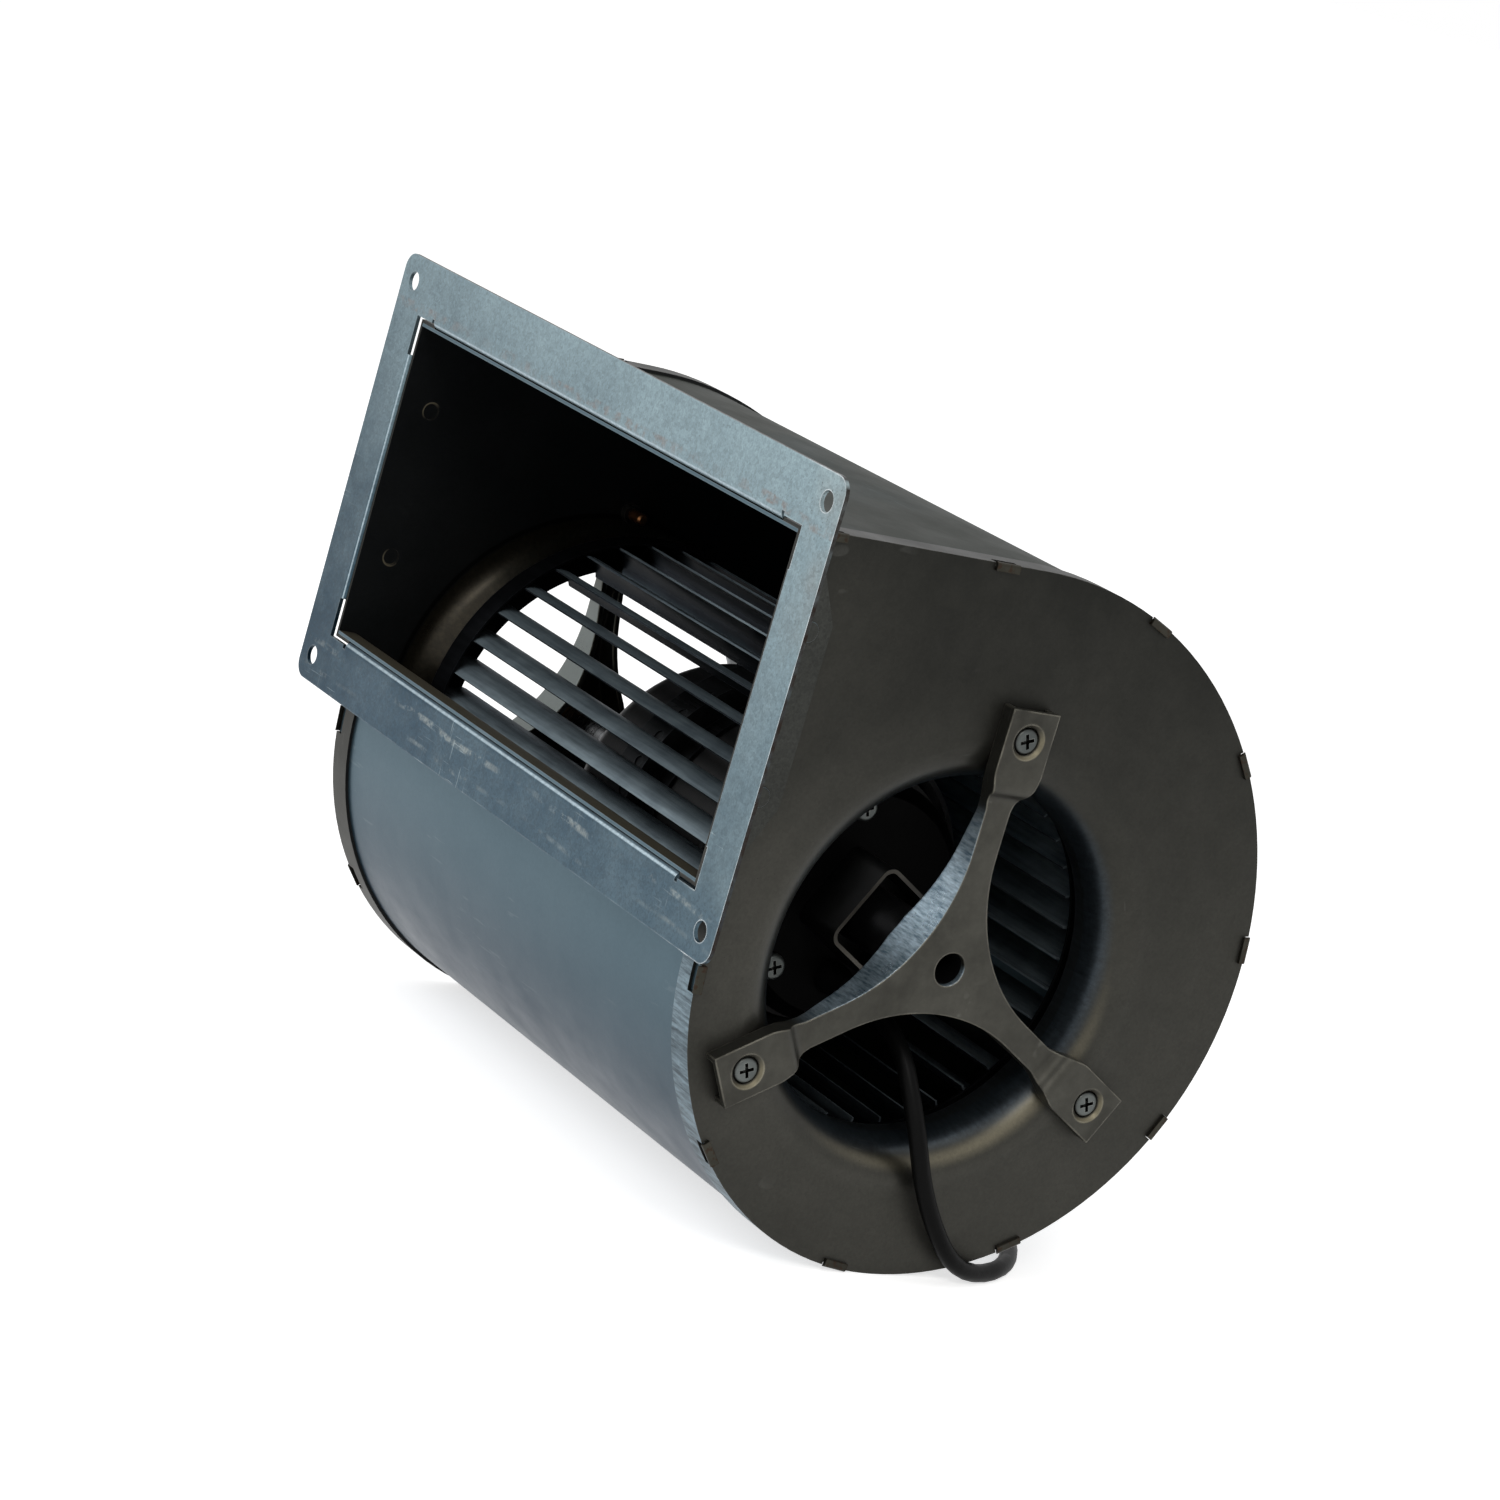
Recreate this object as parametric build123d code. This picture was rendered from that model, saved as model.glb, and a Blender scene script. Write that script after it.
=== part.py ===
from build123d import *
import math
import os

os.makedirs("parts", exist_ok=True)

# Double inlet blower: a forward-curved drum impeller round an external rotor motor, in a sheet steel scroll.
# Millimetres. X runs along the fan axis, towards the side where the cable leaves.
# The outlet faces -Y and Z is up. The origin is the middle of the outlet flange's front face.

# Sheet and fits
SHEET = 1.0
FLANGE_SHEET = 1.2
SPIDER_SHEET = 2.0
SEAT_GAP = 0.05
RUN_GAP = 0.04

# Outlet duct, measured outside the sheet
DUCT_WIDTH = 226.0
DUCT_HEIGHT = 100.0
FLANGE_WIDTH = DUCT_WIDTH + 34.0
FLANGE_HEIGHT = DUCT_HEIGHT + 37.0
FLANGE_CORNER = 5.0
FLANGE_HOLE_SPAN_X = FLANGE_WIDTH - 15.0
FLANGE_HOLE_SPAN_Z = FLANGE_HEIGHT - 16.0
FLANGE_HOLE_R = 3.0
WING_HALF = 39.3
WING_TIP_HALF = 26.0
WING_SHOULDER = 12.5
WING_REACH = 19.2
LIP_REACH = 5.4
LIP_END_GAP = 0.3
WING_BEND_R = 1.5
LIP_BEND_R = 2.5
CORNER_RELIEF = WING_BEND_R + 0.1
LIP_RELIEF = 1.4
CLINCH_R = 3.0
CLINCH_Y = 12.0
CLINCH_Z = 23.5
CLINCH_DEPTH = 0.6

# Scroll, measured from the fan axis to the outside of the rim
AXIS_Y = 91.5
AXIS_Z = -65.5
SCROLL_FRONT = 81.9
SCROLL_BOTTOM = 93.1
SCROLL_BACK = 104.3
SCROLL_STEP = 11.2
SCROLL_TOP = DUCT_HEIGHT / 2 - AXIS_Z + SHEET
TONGUE_R = 4.0
SHEET_FRONT = 1.0
RIM_WIDTH = 9.0

# Lock tabs of the wrap, folded over the side plates
TAB_WIDTH = 8.0
TAB_HOOK = 1.2
TAB_PROUD = 0.3
TAB_BEND_R = 0.9
TAB_NOTCH_GAP = 0.15
TAB_NOTCH_DEPTH = 3.2
TAB_NOTCH_SINK = 0.2
TOP_TABS_Y = (12.4, 70.5)
ROUND_TABS = (71, 41, 9, -24, -58, -95, -135, -172)

# Bell mouths
BELL_EDGE_R = 66.0
BELL_BEND_R = 12.0
BELL_LIP = 4.5

# Spiders
SPIDER_ARMS = (90, 210, 330)
SPIDER_SCREW_R = BELL_EDGE_R + 3.1
SPIDER_REACH = BELL_EDGE_R + 12.0
SPIDER_PAD_HALF = 8.0
SPIDER_PAD_START = BELL_EDGE_R - 6.5
SPIDER_HUB_EDGE = 13.5
SPIDER_WAIST = 34.75
SPIDER_NECK_END = BELL_EDGE_R - 19.0
SPIDER_RAMP = 7.0
SPIDER_FLANGE_T = 1.8
SPIDER_PAD_RISE = 5.0
SPIDER_HUB_RISE = 1.0
SPIDER_HUB_DEPTH = 14.0
SPIDER_HOLE_R = 5.0
SCREW_SEAT_R = 4.1
SCREW_SEAT_MOUTH_R = 5.2
SCREW_SEAT_FLARE = 1.1
SCREW_SEAT_WALL = 1.3
SCREW_R = 1.9
SCREW_HEAD_R = 3.9
SCREW_HEAD_H = 2.4
SCREW_LENGTH = 12.0
SCREW_HOLE_R = 2.2
COLLAR_BORE_R = 1.95
COLLAR_WALL = 1.2
COLLAR_DEPTH = 2.4

# Impeller
BLADE_COUNT = 36
BLADE_TIP_R = 65.8
BLADE_HEEL_R = 54.4
BLADE_T = 0.6
BLADE_LEAN = 6.2
BLADE_BELLY_R = 60.9
BLADE_BELLY_LEAN = 1.3
IMPELLER_LENGTH = 183.0
RING_T = 0.7
RING_BAND = 8.5
RING_BORE_R = 56.0
DISC_X = 11.0
DISC_T = 1.2
DISC_COLLAR_WALL = 1.05
DISC_COLLAR_DEPTH = 11.0
DISC_DIMPLE_R = 1.7
DISC_DIMPLE_DEPTH = 0.5
DISC_DIMPLE_X = 8.8
DISC_DIMPLE_TURN = 8.3
DISC_HUB_DEPTH = 6.0

# Motor
ROTOR_R = 46.0
ROTOR_T = 1.5
ROTOR_CORNER_R = 9.0
ROTOR_FAR_X = -32.0
ROTOR_OPEN_X = 44.0
ROTOR_HUB_R = 12.0
ROTOR_HUB_DEPTH = 12.0
STACK_FAR_X = -12.0
STACK_NEAR_X = 28.0
ROTOR_CORE_BORE_R = ROTOR_R - 12.4
AIR_GAP = 0.4
CAGE_BARS = 20
CAGE_BAR_R = 1.6
CAGE_BAR_PCD_R = ROTOR_R - 6.5
CAGE_RING_LENGTH = 7.0
STATOR_SLOTS = 12
STATOR_BACK_R = 19.0
SLOT_WIDTH = 5.0
WINDING_REACH = 11.0
BEARING_R = 11.0
BEARING_WIDTH = 7.0
SHAFT_R = 4.0
BUSH_WALL = 3.0
BUSH_RELIEF_R = 9.5
FAR_BEARING_X = -16.0
NEAR_BEARING_X = 39.5
STATOR_FLANGE_R = 40.0
STATOR_FLANGE_X = 46.0
STATOR_FLANGE_T = 4.0
CAP_R = 38.0
CAP_T = 2.0
CAP_DEPTH = 12.0
CAP_BEVEL = 4.0
CAP_SCREW_R = 30.5
CAP_SCREW_ANGLES = (103, 223, 343)
TUBE_R = 9.0
TUBE_BORE_R = 5.0
TUBE_FOOT_R = 14.0
TUBE_FOOT_T = 2.0
CUP_HALF = 14.0
CUP_T = 1.2
CUP_CORNER_R = 4.0
CUP_DEPTH = 19.0
CUP_TURN = 150
BUSH_FLANGE_R = 8.0
BUSH_FLANGE_T = 2.0
SHAFT_END_PROUD = 2.5

# Cable
CABLE_R = 2.7
GLAND_R = 5.2
GLAND_TIP_R = 3.6
GLAND_LENGTH = 11.5
GLAND_INNER_LENGTH = 9.5
FLOOR_Z = AXIS_Z - SCROLL_BOTTOM
COIL_MEAN_R = 30.0
COIL_X = -85.0
COIL_Y = AXIS_Y + SCROLL_BACK + 33.5
TIE_WIDTH = 5.0
TIE_T = 1.0
TIE_GAP = 0.2
TAIL_LENGTH = 30.0
WIRE_R = 1.0
WIRE_GAP = 0.2
WIRE_LENGTH = 26.0
FERRULE_R = 1.4
FERRULE_LENGTH = 10.0

HALF_INSIDE = DUCT_WIDTH / 2 - SHEET
HALF_OUTSIDE = DUCT_WIDTH / 2
FAN = Plane(origin=(0, AXIS_Y, AXIS_Z), x_dir=(0, 1, 0), z_dir=(1, 0, 0)).location
CAP_FACE_X = STATOR_FLANGE_X + STATOR_FLANGE_T + CAP_DEPTH


def save(name, shape):
    """Writes one node's STEP file."""
    shape.label = name
    export_step(shape, "parts/" + name + ".step")


def polar(radius, degrees):
    """A point of the plane across the fan axis."""
    angle = math.radians(degrees)
    return (radius * math.cos(angle), radius * math.sin(angle))


def turned(points):
    """A solid of revolution round the fan axis, from (radius, x) points."""
    profile = make_face(Plane.XZ * Polyline(*points, close=True))
    return FAN * revolve(profile, Axis.Z)


def rod(radius, x_from, x_to, across=(0, 0)):
    """A cylinder along X, at a place across the fan axis."""
    disc = Pos(across[0], across[1], x_from) * Circle(radius)
    return FAN * extrude(disc, x_to - x_from)


def left(shape):
    """The same piece for the other side."""
    return mirror(shape, about=Plane.YZ)


# Scroll outline: three arcs that widen from the tongue to the top wall
FRONT_R = (SCROLL_FRONT + SCROLL_BACK - SCROLL_STEP) / 2
FRONT_CENTRE = ((SCROLL_BACK - SCROLL_FRONT - SCROLL_STEP) / 2, FRONT_R - SCROLL_BOTTOM)
BACK_R = FRONT_R + SCROLL_STEP
BACK_CENTRE = (FRONT_CENTRE[0], FRONT_CENTRE[1] + SCROLL_STEP)
LAST_STEP = SCROLL_TOP - FRONT_CENTRE[1] - FRONT_R - 2 * SCROLL_STEP
TOP_R = BACK_R + LAST_STEP
TOP_CENTRE = (BACK_CENTRE[0] - LAST_STEP, BACK_CENTRE[1])


def scroll_face(inset):
    """The scroll's side view, inset from the rim's outside, as a face in the YZ plane."""
    top_z = AXIS_Z + SCROLL_TOP - inset
    floor_z = inset - DUCT_HEIGHT / 2 - SHEET
    front_y = AXIS_Y - SCROLL_FRONT + inset
    tongue_y = AXIS_Y - SCROLL_FRONT - TONGUE_R
    tongue_z = -DUCT_HEIGHT / 2 - SHEET - TONGUE_R

    def arc(centre, radius, start):
        middle = (AXIS_Y + centre[0], AXIS_Z + centre[1])
        return CenterArc(middle, radius - inset, start, -90)

    top_arc = arc(TOP_CENTRE, TOP_R, 90)
    back_arc = arc(BACK_CENTRE, BACK_R, 0)
    front_arc = arc(FRONT_CENTRE, FRONT_R, -90)
    tongue = CenterArc((tongue_y, tongue_z), TONGUE_R + inset, 0, 90)
    edges = [
        Line((SHEET_FRONT, top_z), top_arc @ 0),
        top_arc,
        back_arc,
        front_arc,
        Line(front_arc @ 1, (front_y, tongue_z)),
        tongue,
        Line(tongue @ 1, (SHEET_FRONT, floor_z)),
        Line((SHEET_FRONT, floor_z), (SHEET_FRONT, top_z)),
    ]
    return make_face([Plane.YZ * edge for edge in edges])


def slab(face, x_from, x_to):
    """A face in the YZ plane thickened along X."""
    return extrude(Pos(x_from, 0, 0) * face, x_to - x_from, dir=(1, 0, 0))


def tab_places():
    """Where each lock tab crosses the rim: a point in Y and Z and the way out."""
    places = [((y, AXIS_Z + SCROLL_TOP), (0.0, 1.0)) for y in TOP_TABS_Y]
    for degrees in ROUND_TABS:
        if degrees > 0:
            centre, radius = TOP_CENTRE, TOP_R
        elif degrees > -90:
            centre, radius = BACK_CENTRE, BACK_R
        else:
            centre, radius = FRONT_CENTRE, FRONT_R
        ray = polar(1, degrees)
        along = centre[0] * ray[0] + centre[1] * ray[1]
        reach = along + math.sqrt(radius ** 2 - centre[0] ** 2 - centre[1] ** 2 + along ** 2)
        point = (ray[0] * reach, ray[1] * reach)
        out = ((point[0] - centre[0]) / radius, (point[1] - centre[1]) / radius)
        places.append(((AXIS_Y + point[0], AXIS_Z + point[1]), out))
    return places


def on_rim(place, width, low, high, x_from, x_to):
    """A block on the rim: its width along the rim, low to high outwards, and its span along X."""
    (y, z), out = place
    base = Plane(origin=(x_from, y, z), x_dir=(0, out[1], -out[0]), z_dir=(1, 0, 0))
    block = Box(width, high - low, x_to - x_from, align=(Align.CENTER, Align.MIN, Align.MIN))
    return base.location * Pos(0, low, 0) * block


outer_face = scroll_face(0)
wrap_face = scroll_face(SHEET)
inside_face = scroll_face(2 * SHEET)
TABS = tab_places()

# Scroll wrap with its lock tabs
scroll_wrap = slab(wrap_face - inside_face, -HALF_INSIDE, HALF_INSIDE)
right_tabs = []
far_x = HALF_OUTSIDE + SHEET
for tab in TABS:
    neck = on_rim(tab, TAB_WIDTH, -2 * SHEET, -SHEET, HALF_INSIDE - SHEET, HALF_OUTSIDE + SHEET)
    hook = on_rim(tab, TAB_WIDTH, -SHEET - TAB_HOOK, TAB_PROUD, HALF_OUTSIDE, HALF_OUTSIDE + SHEET)
    folded = neck + hook
    crest = on_rim(tab, 0.1, TAB_PROUD - 0.1, TAB_PROUD + 0.1, far_x, far_x + 0.1)
    right_tabs.append(fillet(folded.edges().sort_by_distance(crest)[0], TAB_BEND_R))
for tab in right_tabs:
    scroll_wrap = scroll_wrap + tab + left(tab)
save("scroll_wrap", scroll_wrap)

# Side plates: flat side, rim lip over the wrap, drawn bell mouth and extruded screw holes
TORUS_X = HALF_OUTSIDE - BELL_BEND_R
THROAT_R = BELL_EDGE_R - BELL_BEND_R


def bell_profile():
    """The drawn bell mouth's section, from the flat side to the throat."""
    diagonal = math.sqrt(0.5)
    inner_r = BELL_BEND_R - SHEET
    outer_mid = (BELL_EDGE_R - BELL_BEND_R * diagonal, TORUS_X + BELL_BEND_R * diagonal)
    inner_mid = (BELL_EDGE_R - inner_r * diagonal, TORUS_X + inner_r * diagonal)
    lip_x = TORUS_X - BELL_LIP
    edges = [
        ThreePointArc((BELL_EDGE_R, HALF_OUTSIDE), outer_mid, (THROAT_R, TORUS_X)),
        Line((THROAT_R, TORUS_X), (THROAT_R, lip_x)),
        Line((THROAT_R, lip_x), (THROAT_R + SHEET, lip_x)),
        Line((THROAT_R + SHEET, lip_x), (THROAT_R + SHEET, TORUS_X)),
        ThreePointArc((THROAT_R + SHEET, TORUS_X), inner_mid, (BELL_EDGE_R, HALF_INSIDE)),
        Line((BELL_EDGE_R, HALF_INSIDE), (BELL_EDGE_R, HALF_OUTSIDE)),
    ]
    return make_face([Plane.XZ * edge for edge in edges])


side_plate = slab(outer_face, HALF_INSIDE, HALF_OUTSIDE)
side_plate = side_plate - rod(BELL_EDGE_R, HALF_INSIDE - 1, HALF_OUTSIDE + 1)
side_plate = side_plate + slab(outer_face - wrap_face, HALF_OUTSIDE - RIM_WIDTH, HALF_INSIDE)
side_plate = side_plate + FAN * revolve(bell_profile(), Axis.Z)
notch_width = TAB_WIDTH + 2 * TAB_NOTCH_GAP
rim_notch_x = HALF_OUTSIDE - TAB_NOTCH_DEPTH
beyond = HALF_OUTSIDE + 1
for tab in TABS:
    rim_notch = on_rim(tab, notch_width, -SHEET - TAB_NOTCH_SINK, SHEET, rim_notch_x, beyond)
    face_notch = on_rim(tab, notch_width, -2 * SHEET - SEAT_GAP, 0, HALF_INSIDE, beyond)
    side_plate = side_plate - rim_notch - face_notch
for degrees in SPIDER_ARMS:
    place = polar(SPIDER_SCREW_R, degrees)
    collar_r = COLLAR_BORE_R + COLLAR_WALL
    side_plate = side_plate + rod(collar_r, HALF_INSIDE - COLLAR_DEPTH, HALF_INSIDE, place)
    side_plate = side_plate - rod(COLLAR_BORE_R, HALF_INSIDE - COLLAR_DEPTH - 1, HALF_OUTSIDE + 1, place)
for side in (-1, 1):
    place = Pos(HALF_INSIDE, CLINCH_Y, side * CLINCH_Z) * Rot(0, 90, 0)
    side_plate = side_plate - place * Cylinder(CLINCH_R - 0.4, 2 * CLINCH_DEPTH)
save("side_plate_right", side_plate)
save("side_plate_left", left(side_plate))

# Outlet flange: a frame with wings on the side plates and lips on the wrap
frame_block = Box(FLANGE_WIDTH, FLANGE_SHEET, FLANGE_HEIGHT, align=(Align.CENTER, Align.MIN, Align.CENTER))
outlet_flange = fillet(frame_block.edges().filter_by(Axis.Y), FLANGE_CORNER)
opening = Box(DUCT_WIDTH, 6 * FLANGE_SHEET, DUCT_HEIGHT)
outlet_flange = outlet_flange - opening
wing_points = [
    (0, -WING_HALF),
    (WING_SHOULDER, -WING_HALF),
    (WING_REACH, -WING_TIP_HALF),
    (WING_REACH, WING_TIP_HALF),
    (WING_SHOULDER, WING_HALF),
    (0, WING_HALF),
]
wing_face = make_face(Plane.YZ * Polyline(*wing_points, close=True))
wing = slab(wing_face, HALF_OUTSIDE, HALF_OUTSIDE + FLANGE_SHEET)
for side in (-1, 1):
    button = Pos(HALF_OUTSIDE + FLANGE_SHEET, CLINCH_Y, side * CLINCH_Z) * Rot(0, 90, 0)
    stud = Cylinder(CLINCH_R, CLINCH_DEPTH, align=(Align.CENTER, Align.CENTER, Align.MIN))
    wing = wing + button * fillet(stud.edges().group_by(Axis.Z)[-1], 0.4)
LIP_HALF = HALF_OUTSIDE - RIM_WIDTH - LIP_END_GAP
lip = Box(2 * LIP_HALF, LIP_REACH, FLANGE_SHEET, align=(Align.CENTER, Align.MIN, Align.MIN))
outlet_flange = outlet_flange + wing + left(wing)
for side in (-1, 1):
    lip_z = DUCT_HEIGHT / 2 if side > 0 else -DUCT_HEIGHT / 2 - FLANGE_SHEET
    outlet_flange = outlet_flange + Pos(0, 0, lip_z) * lip
for corner_x in (-1, 1):
    for corner_z in (-1, 1):
        x_mid = corner_x * (LIP_HALF + HALF_OUTSIDE + CORNER_RELIEF) / 2
        z_mid = corner_z * (WING_HALF + DUCT_HEIGHT / 2 + CORNER_RELIEF) / 2
        relief = Box(HALF_OUTSIDE + CORNER_RELIEF - LIP_HALF, 3 * FLANGE_SHEET,
                     DUCT_HEIGHT / 2 + CORNER_RELIEF - WING_HALF)
        outlet_flange = outlet_flange - Pos(x_mid, 0, z_mid) * relief
        slit_height = LIP_BEND_R + 0.2
        slit = Box(LIP_RELIEF, 3 * FLANGE_SHEET, slit_height)
        slit_x = corner_x * (LIP_HALF + LIP_RELIEF / 2)
        slit_z = corner_z * (DUCT_HEIGHT + slit_height) / 2
        outlet_flange = outlet_flange - Pos(slit_x, 0, slit_z) * slit
        hole = Pos(corner_x * FLANGE_HOLE_SPAN_X / 2, 0, corner_z * FLANGE_HOLE_SPAN_Z / 2) * Rot(90, 0, 0)
        outlet_flange = outlet_flange - hole * Cylinder(FLANGE_HOLE_R, 4 * FLANGE_SHEET)


def wing_edges(y, step):
    """The edges at one depth where the frame turns into a wing, a step out from the duct."""
    found = []
    for edge in outlet_flange.edges():
        middle = edge.center()
        in_place = abs(middle.Y - y) < 0.01 and abs(abs(middle.X) - HALF_OUTSIDE - step) < 0.01
        if in_place and edge.length > 1.5 * WING_HALF:
            found.append(edge)
    return found


def lip_edges(y, step):
    """The edges at one depth where the frame turns into a lip, a step out from the duct."""
    found = []
    for edge in outlet_flange.edges():
        middle = edge.center()
        in_place = abs(middle.Y - y) < 0.01 and abs(abs(middle.Z) - DUCT_HEIGHT / 2 - step) < 0.01
        if in_place and edge.length > 1.5 * LIP_HALF:
            found.append(edge)
    return found


outlet_flange = fillet(wing_edges(FLANGE_SHEET, FLANGE_SHEET), WING_BEND_R - FLANGE_SHEET)
outlet_flange = fillet(lip_edges(FLANGE_SHEET, FLANGE_SHEET), LIP_BEND_R - FLANGE_SHEET)
outlet_flange = fillet(wing_edges(0, 0), WING_BEND_R)
outlet_flange = fillet(lip_edges(0, 0), LIP_BEND_R)
save("outlet_flange", outlet_flange)


# Spiders
def star_face(flange, reach):
    """A spider's outline: three arms joined by hollow arcs, inset by the flange's thickness."""
    centre = SPIDER_WAIST / math.cos(math.radians(60))
    hub_edge = SPIDER_HUB_EDGE - flange
    neck = SPIDER_WAIST * math.tan(math.radians(60)) - (centre - hub_edge)
    pad = SPIDER_PAD_HALF - flange
    middle = ((SPIDER_NECK_END + SPIDER_PAD_START) / 2, (neck + pad) / 2)
    step = SPIDER_PAD_START - SPIDER_NECK_END
    inner_bow = (SPIDER_NECK_END + step / 4, neck + (pad - neck) * 0.17)
    outer_bow = (SPIDER_NECK_END + 3 * step / 4, neck + (pad - neck) * 0.83)
    face_edges = []
    for arm in SPIDER_ARMS:
        def at(point, side):
            turned_point = Vector(point[0], side * point[1]).rotate(Axis.Z, arm)
            return (turned_point.X, turned_point.Y)

        for side in (-1, 1):
            start = at((SPIDER_WAIST, neck), side)
            neck_end = at((SPIDER_NECK_END, neck), side)
            pad_start = at((SPIDER_PAD_START, pad), side)
            face_edges.append(Line(start, neck_end))
            face_edges.append(ThreePointArc(neck_end, at(inner_bow, side), at(middle, side)))
            face_edges.append(ThreePointArc(at(middle, side), at(outer_bow, side), pad_start))
            face_edges.append(Line(pad_start, at((reach, pad), side)))
        face_edges.append(Line(at((reach, pad), -1), at((reach, pad), 1)))
        next_waist = Vector(SPIDER_WAIST, -neck).rotate(Axis.Z, arm + 120)
        face_edges.append(ThreePointArc(at((SPIDER_WAIST, neck), 1), polar(hub_edge, arm + 60),
                                        (next_waist.X, next_waist.Y)))
    return make_face(face_edges)


def arm_sectors(ramp_start, low, high, reach, under):
    """Solids of one side view, (along the arm, x), each in its own third of the circle.

    The top runs from the hub's level up a soft ramp to the pad's level."""
    ramp_mid = (ramp_start + SPIDER_RAMP / 2, (low + high) / 2)
    ramp_end = (ramp_start + SPIDER_RAMP, high)
    rise = (high - low) / 2
    bow_r = ((SPIDER_RAMP / 2) ** 2 + rise ** 2) / (2 * rise)
    bow = math.atan2(rise, SPIDER_RAMP / 2)
    dip = bow_r * (1 - math.cos(bow))
    lower = (ramp_start + bow_r * math.sin(bow), low + dip)
    upper = (ramp_end[0] - bow_r * math.sin(bow), high - dip)
    edges = [
        Line((0, low), (ramp_start, low)),
        ThreePointArc((ramp_start, low), lower, ramp_mid),
        ThreePointArc(ramp_mid, upper, ramp_end),
        Line(ramp_end, (reach, high)),
        Polyline((reach, high), *under, (0, low)),
    ]
    face = make_face([Plane.XZ * edge for edge in edges])
    side_view = extrude(face, SPIDER_REACH, both=True)
    far = 3 * SPIDER_REACH
    third = make_face(Polyline((0, 0), (far, -far * math.sqrt(3)), (far, far * math.sqrt(3)), close=True))
    sector = side_view & extrude(third, 2 * HALF_OUTSIDE)
    return [Rot(0, 0, arm) * sector for arm in SPIDER_ARMS]


HUB_TOP = HALF_OUTSIDE + SPIDER_HUB_RISE
PAD_TOP = HALF_OUTSIDE + SPIDER_PAD_RISE
HUB_FLANGE_END = HUB_TOP - SPIDER_HUB_DEPTH
solid_under = [
    (SPIDER_REACH, HALF_OUTSIDE),
    (SPIDER_PAD_START - 1, HALF_OUTSIDE),
    (SPIDER_NECK_END + 2, HALF_OUTSIDE - 3),
    (SPIDER_NECK_END - 2, HALF_OUTSIDE - 3.6),
    (10, HUB_FLANGE_END),
    (0, HUB_FLANGE_END),
]
hollow_reach = SPIDER_REACH + 5
hollow_under = [(hollow_reach, HUB_FLANGE_END - 5), (0, HUB_FLANGE_END - 5)]
hollow_ramp = SPIDER_NECK_END + 1.4
hollow_low = HUB_TOP - SPIDER_SHEET
hollow_high = PAD_TOP - SPIDER_SHEET
plan = extrude(star_face(0, SPIDER_REACH), 2 * HALF_OUTSIDE)
hollow_plan = extrude(star_face(SPIDER_FLANGE_T, SPIDER_REACH + 3), 2 * HALF_OUTSIDE)
spider = Part()
for sector in arm_sectors(SPIDER_NECK_END + 2, HUB_TOP, PAD_TOP, SPIDER_REACH, solid_under):
    spider = spider + (plan & sector)
for sector in arm_sectors(hollow_ramp, hollow_low, hollow_high, hollow_reach, hollow_under):
    spider = spider - (hollow_plan & sector)
spider = FAN * spider
SEAT_X = HALF_OUTSIDE + SPIDER_SHEET
for degrees in SPIDER_ARMS:
    place = polar(SPIDER_SCREW_R, degrees)
    spider = spider + rod(SCREW_SEAT_R + SCREW_SEAT_WALL, HALF_OUTSIDE, PAD_TOP - SPIDER_SHEET / 2, place)
    spider = spider - rod(SCREW_SEAT_R, SEAT_X, PAD_TOP + 1, place)
    deep = (Align.CENTER, Align.CENTER, Align.MAX)
    flare = Cone(SCREW_SEAT_R, SCREW_SEAT_MOUTH_R, SCREW_SEAT_FLARE, align=deep)
    spider = spider - FAN * Pos(place[0], place[1], PAD_TOP) * flare
    spider = spider - rod(SCREW_HOLE_R, HALF_OUTSIDE - 1, PAD_TOP + 1, place)
spider = spider - rod(SPIDER_HOLE_R, HUB_FLANGE_END, HUB_TOP + 1)
save("spider_right", spider)
save("spider_left", left(spider))


# Screws: a pan head with a cross recess
def pan_screw(head_r, head_h, shank_r, length):
    """A screw with its head's underside on the local XY plane and its shank along -Z."""
    head = Cylinder(head_r, head_h, align=(Align.CENTER, Align.CENTER, Align.MIN))
    head = fillet(head.edges().group_by(Axis.Z)[-1], 0.45 * head_h)
    shank = Cylinder(shank_r, length, align=(Align.CENTER, Align.CENTER, Align.MAX))
    shank = chamfer(shank.edges().group_by(Axis.Z)[0], 0.3 * shank_r)
    screw = head + shank
    for turn in (0, 90):
        slot = Box(1.15 * head_r, 0.26 * head_r, head_h, align=(Align.CENTER, Align.CENTER, Align.MIN))
        screw = screw - Rot(0, 0, turn + 20) * Pos(0, 0, 0.4 * head_h) * slot
    return screw


spider_screws = []
for degrees in SPIDER_ARMS:
    place = polar(SPIDER_SCREW_R, degrees)
    screw = pan_screw(SCREW_HEAD_R, SCREW_HEAD_H, SCREW_R, SCREW_LENGTH)
    spider_screws.append(FAN * Pos(place[0], place[1], SEAT_X) * screw)
save("spider_screws_right", Compound(children=spider_screws))
save("spider_screws_left", Compound(children=[left(screw) for screw in spider_screws]))

# Stator flange with its bearing bush
BUSH_R = BEARING_R + BUSH_WALL
SEAT_BORE = BEARING_R + 0.02
flange_near = STATOR_FLANGE_X + STATOR_FLANGE_T
near_seat_end = NEAR_BEARING_X + BEARING_WIDTH
far_seat_end = FAR_BEARING_X + BEARING_WIDTH
bush_points = [
    (SEAT_BORE, FAR_BEARING_X - 1),
    (BUSH_R, FAR_BEARING_X - 1),
    (BUSH_R, STATOR_FLANGE_X),
    (STATOR_FLANGE_R, STATOR_FLANGE_X),
    (STATOR_FLANGE_R, flange_near),
    (SEAT_BORE, flange_near),
    (SEAT_BORE, NEAR_BEARING_X),
    (BUSH_RELIEF_R, NEAR_BEARING_X),
    (BUSH_RELIEF_R, far_seat_end + 0.7),
    (SEAT_BORE, far_seat_end + 0.7),
]
stator_flange = turned(bush_points)
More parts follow.
